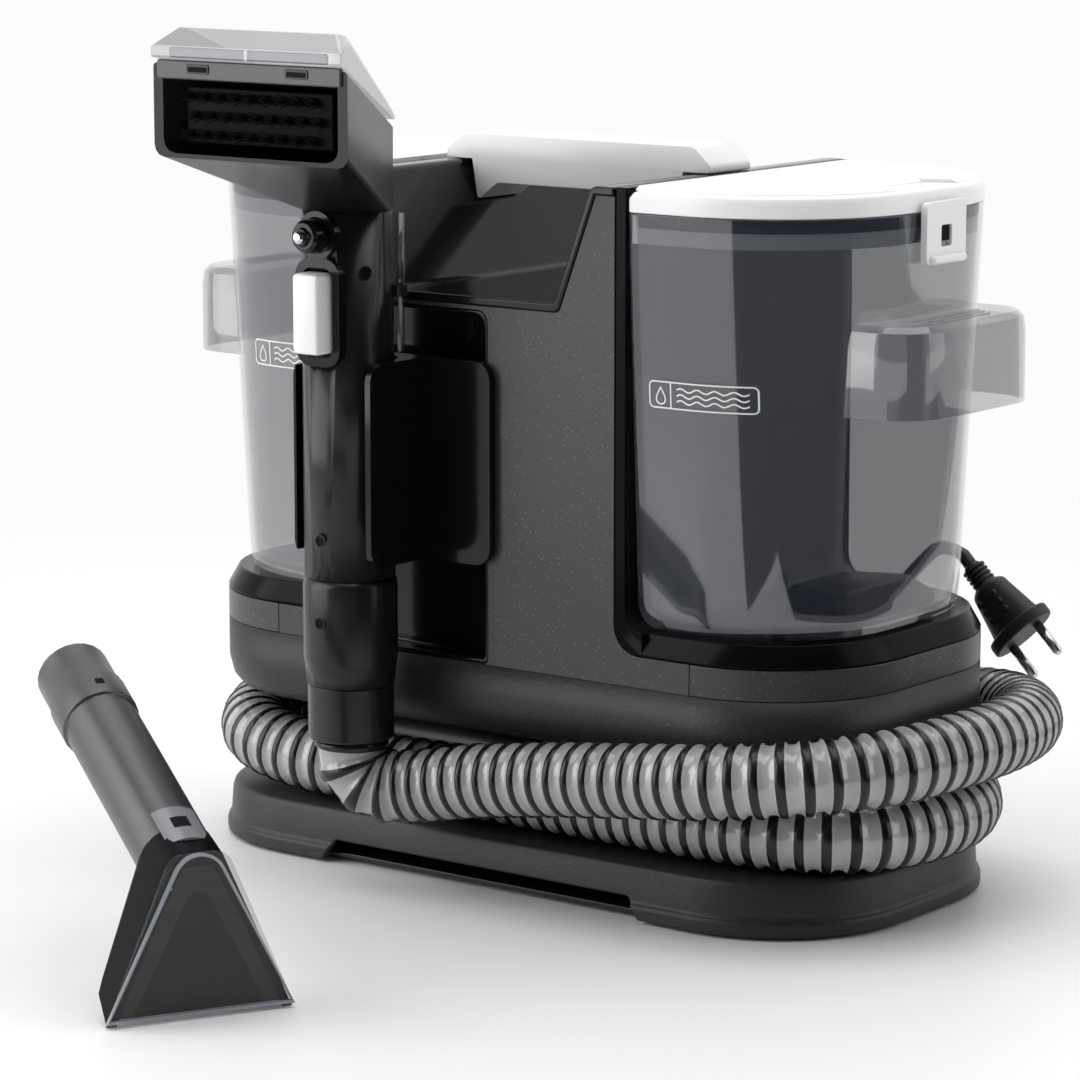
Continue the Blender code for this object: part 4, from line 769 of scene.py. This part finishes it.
# ---- inside: motor, fan and pump -------------------------------------------------------------------
# The motor and the pump are bought-in units in plated cases. The fan turns in a black moulded
# housing over the motor, and a black duct brings the wet air up to it.
motor_paint = moulded("motor_casing", (0.20, 0.20, 0.21), 0.42, metallic=0.5)
dress("suction_motor", motor_paint)
dress("water_pump", motor_paint)
dress("fan_housing", satin_black)
dress("impeller", pin_metal)
dress("suction_duct", satin_black)
dress("upper_cord_hook", satin_black, 0.0012, 3)
dress("lower_cord_hook", satin_black, 0.0012, 3)


# ---- wand ------------------------------------------------------------------------------------------
# Two black shells are screwed together round the suction tube. A polished surround frames the white
# trigger and the spray jet, and a thin clear tube carries the water up the outside.
wand_x = -0.0545
wand_y = -0.1250
dress("hose_cuff", satin_black, 0.0006)
dress("wand_collar", satin_black)
# The front shell keeps sharp edges, which leaves room for the trigger at full press.
dress("grip_front", satin_black)
dress("grip_rear", satin_black, 0.0004)
dress("trigger", white, 0.0008, 3)
dress("spray_nozzle", gloss_black, 0.0004)
dress("water_tube", clear)

trigger_low, trigger_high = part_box("trigger")
trigger_middle = (trigger_low.z + trigger_high.z) / 2
surround_outer = rounded_rectangle(0.0270, trigger_high.z - trigger_low.z + 0.0130, 0.0085)
surround_inner = rounded_rectangle(0.0184, trigger_high.z - trigger_low.z + 0.0042, 0.0050)
surround_loops = []
for ring, y in ((surround_outer, -0.1405), (surround_outer, -0.1478),
                (surround_inner, -0.1478), (surround_inner, -0.1405)):
    surround_loops.append([Vector((wand_x + x, y, trigger_middle + z)) for x, z in ring])
mount(loft("trigger_surround", surround_loops, [gloss_black], ring=True), "wand")
tablet("surround_neck", (wand_x, -0.1430, trigger_high.z + 0.0070), (1, 0, 0), (0, 0, 1),
       (0.0130, 0.0060, 0.0045),
       0.0010, gloss_black, "wand", 0.0008)
jet_low, jet_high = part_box("spray_nozzle")
jet_z = (jet_low.z + jet_high.z) / 2
mount(turned("jet_surround", ((0.0085, 0.0), (0.0118, 0.0), (0.0115, 0.0062), (0.0088, 0.0062)),
             (wand_x, -0.1420, jet_z), (0, -1, 0), [gloss_black], ring=True), "wand")
mount(turned("spray_tip", ((0.0030, 0.0), (0.0030, 0.0018), (0.0020, 0.0030), (0.0009, 0.0031)),
             (wand_x, jet_low.y + 0.0003, jet_z), (0, -1, 0), [pin_metal], count=20), "wand")


def wrapped(name, foot, axis, outward, radius, thickness, half_angle, start, length, finish, body):
    """A curved plate that lies on a round tube, from start along the tube's axis."""
    axis = Vector(axis).normalized()
    outward = Vector(outward).normalized()
    side = axis.cross(outward)
    angles = [math.radians(half_angle * (step / 6 - 1)) for step in range(13)]
    loops = []
    for along in (start, start + length):
        outer_arc = [(radius + thickness, angle) for angle in angles]
        inner_arc = [(radius, angle) for angle in reversed(angles)]
        loops.append([Vector(foot) + axis * along
                          + (outward * math.cos(angle) + side * math.sin(angle)) * reach
                      for reach, angle in outer_arc + inner_arc])
    return mount(loft(name, loops, [finish]), body)


screws = ((1, 0.1340, 0.0, 0.0229, "wand"), (2, 0.1740, 0.0, 0.0220, "wand"),
          (3, 0.3030, 62.0, 0.0220, "wand"),
          (4, 0.3450, 0.0, 0.0220, "wand_head"))
for number, z, turn_angle, reach, body in screws:
    out = Vector((math.sin(math.radians(turn_angle)), -math.cos(math.radians(turn_angle)), 0))
    seat = Vector((wand_x, wand_y, z)) + out * (reach - 0.0012)
    mount(turned(f"screw_hole_rim_{number}",
                 ((0.0024, 0.0), (0.0033, 0.0), (0.0032, 0.0016), (0.0026, 0.0016)),
                 seat, out, [satin_black], ring=True, count=20), body)
    # The dark cone inside each rim is painted shade for the depth of the screw hole.
    mount(turned(f"screw_hole_{number}", ((0.0025, 0.0), (0.0025, 0.0013), (0.0012, 0.00135)),
                 seat, out, [black_and_painted_shade], count=20), body)
tube_low, tube_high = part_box("water_tube")
mount(turned("water_tube_clip", ((0.0024, 0.0), (0.0040, 0.0), (0.0040, 0.0055), (0.0024, 0.0055)),
             ((tube_low.x + tube_high.x) / 2, (tube_low.y + tube_high.y) / 2, 0.2898), (0, 0, 1),
             [satin_black], ring=True, count=20), "wand")


# ---- brush head ------------------------------------------------------------------------------------
# The hollow head is one black moulding. A block in its mouth is drilled for three rows of nylon
# tufts, and a clear suction lip clips over two slots in a grey strip along the top edge.
head_black = moulded("head_black", (0.008, 0.008, 0.0085), 0.30, grain=1800, specular=0.24)
dress("head_housing", head_black, 0.0015, 3)
dress("brush_block", black_and_painted_shade)
dress("clear_nozzle", clear, 0.0010, 3)
strip_grey = moulded("nozzle_strip", (0.055, 0.057, 0.060), 0.30, grain=1500)
bristle_black = moulded("bristle_black", (0.006, 0.006, 0.006), 0.40, specular=0.30)
block_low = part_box("brush_block")[0]
steady = random.Random(7)
tufts = bmesh.new()
for row in range(3):
    for column in range(9):
        root_x = block_low.x + 0.0050 + column * 0.0094 + (0.0034 if row == 1 else 0.0)
        root_z = block_low.z + 0.0042 + row * 0.0089
        for strand in range(26):
            spread = 2.4 * math.pi * strand * 0.6180
            reach = 0.0021 * math.sqrt((strand + 0.5) / 26)
            root = Vector((root_x + reach * math.cos(spread), block_low.y + 0.0005,
                          root_z + reach * math.sin(spread)))
            lean = Vector((math.cos(spread), 0, math.sin(spread))) * reach * steady.uniform(0.35, 0.95)
            tip = root + Vector((0, -0.0078 + steady.uniform(-0.0004, 0.0004), 0)) + lean
            ends = []
            for place, thick in ((root, 0.00022), (tip, 0.00013)):
                ends.append([tufts.verts.new(place + Vector((thick * math.cos(a), 0, thick * math.sin(a))))
                             for a in (0.0, 2.094, 4.189)])
            for here in range(3):
                tufts.faces.new((ends[0][here], ends[0][(here + 1) % 3],
                                 ends[1][(here + 1) % 3], ends[1][here]))
            tufts.faces.new(ends[0])
            tufts.faces.new(ends[1])
mount(link_mesh("brush_tufts", tufts, [bristle_black]), "wand_head")
mouth_y = -0.1950
tablet("nozzle_strip", (wand_x, mouth_y + 0.0006, 0.3992), (1, 0, 0), (0, 0, 1),
       (0.1120, 0.0088, 0.0020), 0.0014,
       strip_grey, "wand_head", 0.0006)
for number, shift in enumerate((-0.0300, 0.0300), 1):
    tablet(f"nozzle_slot_rim_{number}", (wand_x + shift, mouth_y - 0.0013, 0.3998), (1, 0, 0), (0, 0, 1),
           (0.0138, 0.0044, 0.0006), 0.0010, satin_black, "wand_head", 0.0002)
    # Each slot is a thin matt black tablet: painted shade in place of the opening.
    tablet(f"nozzle_slot_{number}", (wand_x + shift, mouth_y - 0.0018, 0.3996), (1, 0, 0), (0, 0, 1),
           (0.0116, 0.0024, 0.0003), 0.0006, black_and_painted_shade, "wand_head", 0.0001)
channel_tint = moulded("nozzle_channel", (0.16, 0.18, 0.21), 0.12, mottle=0.05)
tablet("nozzle_channel", (wand_x, mouth_y - 0.0002, 0.4072), (1, 0, 0), (0, 0, 1),
       (0.0960, 0.0050, 0.0014), 0.0012,
       channel_tint, "wand_head", 0.0005)
tablet("nozzle_centre_rib", (wand_x, mouth_y - 0.0014, 0.4072), (1, 0, 0), (0, 0, 1),
       (0.0022, 0.0052, 0.0008), 0.0005,
       white, "wand_head", 0.0002)


# ---- spare tool ------------------------------------------------------------------------------------
# A wide hand tool for the same hose: a flat black head, a clear front plate over its suction channel
# and a tube with a push collar. A grey spring tab with a window locks the plate on.
tool_angle = math.radians(62)
tube_rise = math.radians(22)
tool_origin = Vector((0.0390, -0.3400, 0.0))
tool_width = Vector((math.cos(tool_angle), math.sin(tool_angle), 0))
tool_back = Vector((-math.sin(tool_angle), math.cos(tool_angle), 0))
cover_tint = clear_moulding("tool_cover", (0.014, 0.015, 0.017), 0.20, specular=0.4)
cover_rim = moulded("tool_cover_rim", (0.30, 0.33, 0.37), 0.10, mottle=0.04)
tool_black = moulded("tool_black", (0.004, 0.004, 0.0045), 0.36, grain=1800, specular=0.06)
dress("spare_tool_head", tool_black, 0.0012, 3)
dress("spare_tool_cover", cover_tint, 0.0005)
tube_black = moulded("tool_tube", (0.020, 0.020, 0.021), 0.34, grain=1800, specular=0.90)
dress("spare_tool_tube", tube_black, 0.0005)


def on_tool(across, back, z):
    """A place on the tool: across its mouth, back from its lip, and up."""
    return tool_origin + tool_width * across + tool_back * back + Vector((0, 0, z))


def arch(half_foot, half_top, low, high, steps=10):
    """A tapering outline with a round top, as (across, up)."""
    points = [(-half_foot, low), (half_foot, low)]
    middle = high - half_top
    begin = math.atan2(low - middle, half_foot) + math.acos(half_top / math.hypot(half_foot, low - middle))
    for step in range(steps + 1):
        angle = begin + (math.pi - 2 * begin) * step / steps
        points.append((half_top * math.cos(angle), high - half_top + half_top * math.sin(angle)))
    return points


baffle = [[on_tool(x, back, z) for x, z in arch(0.0395, 0.0085, 0.0030, 0.0705)] for back in (0.0031, 0.0046)]
mount(loft("spare_tool_baffle", baffle, [satin_black]), "spare_tool")
# The channel is a thin matt black sheet on the baffle: painted shade for the hollow behind the clear plate.
channel = [[on_tool(x, back, z) for x, z in arch(0.0310, 0.0060, 0.0032, 0.0560)]
           for back in (0.0029, 0.0032)]
mount(loft("spare_tool_channel", channel, [black_and_painted_shade]), "spare_tool")
outer_edge = arch(0.0436, 0.0128, 0.0016, 0.0738)
inner_edge = arch(0.0422, 0.0114, 0.0030, 0.0724)
rim_loops = [[on_tool(x, back, z) for x, z in outline]
             for outline, back in ((outer_edge, 0.0026), (outer_edge, 0.0006),
                                  (inner_edge, 0.0006), (inner_edge, 0.0026))]
mount(loft("spare_cover_rim", rim_loops, [cover_rim], ring=True), "spare_tool")
tube_way = tool_back * math.cos(tube_rise) + Vector((0, 0, math.sin(tube_rise)))
tube_foot = on_tool(0, 0.0300, 0.0650)
tube_up = tool_width.cross(tube_way)
if tube_up.z < 0:
    tube_up = -tube_up
tab_grey = moulded("tool_tab", (0.20, 0.21, 0.23), 0.22, mottle=0.05)
wrapped("spare_tool_tab", tube_foot, tube_way, tube_up, 0.0172, 0.0014, 32, -0.0110, 0.0240,
        tab_grey, "spare_tool")
# The tab's window is a thin matt black plate: painted shade in place of the opening.
wrapped("spare_tab_window", tube_foot, tube_way, tube_up, 0.0185, 0.0004, 12, -0.0020, 0.0070,
        black_and_painted_shade, "spare_tool")
# The collar's hole is a thin matt black plate: painted shade in place of the opening.
wrapped("spare_collar_hole", tube_foot, tube_way, tube_up, 0.0183, 0.0003, 6, 0.1140, 0.0035,
        black_and_painted_shade, "spare_tool")
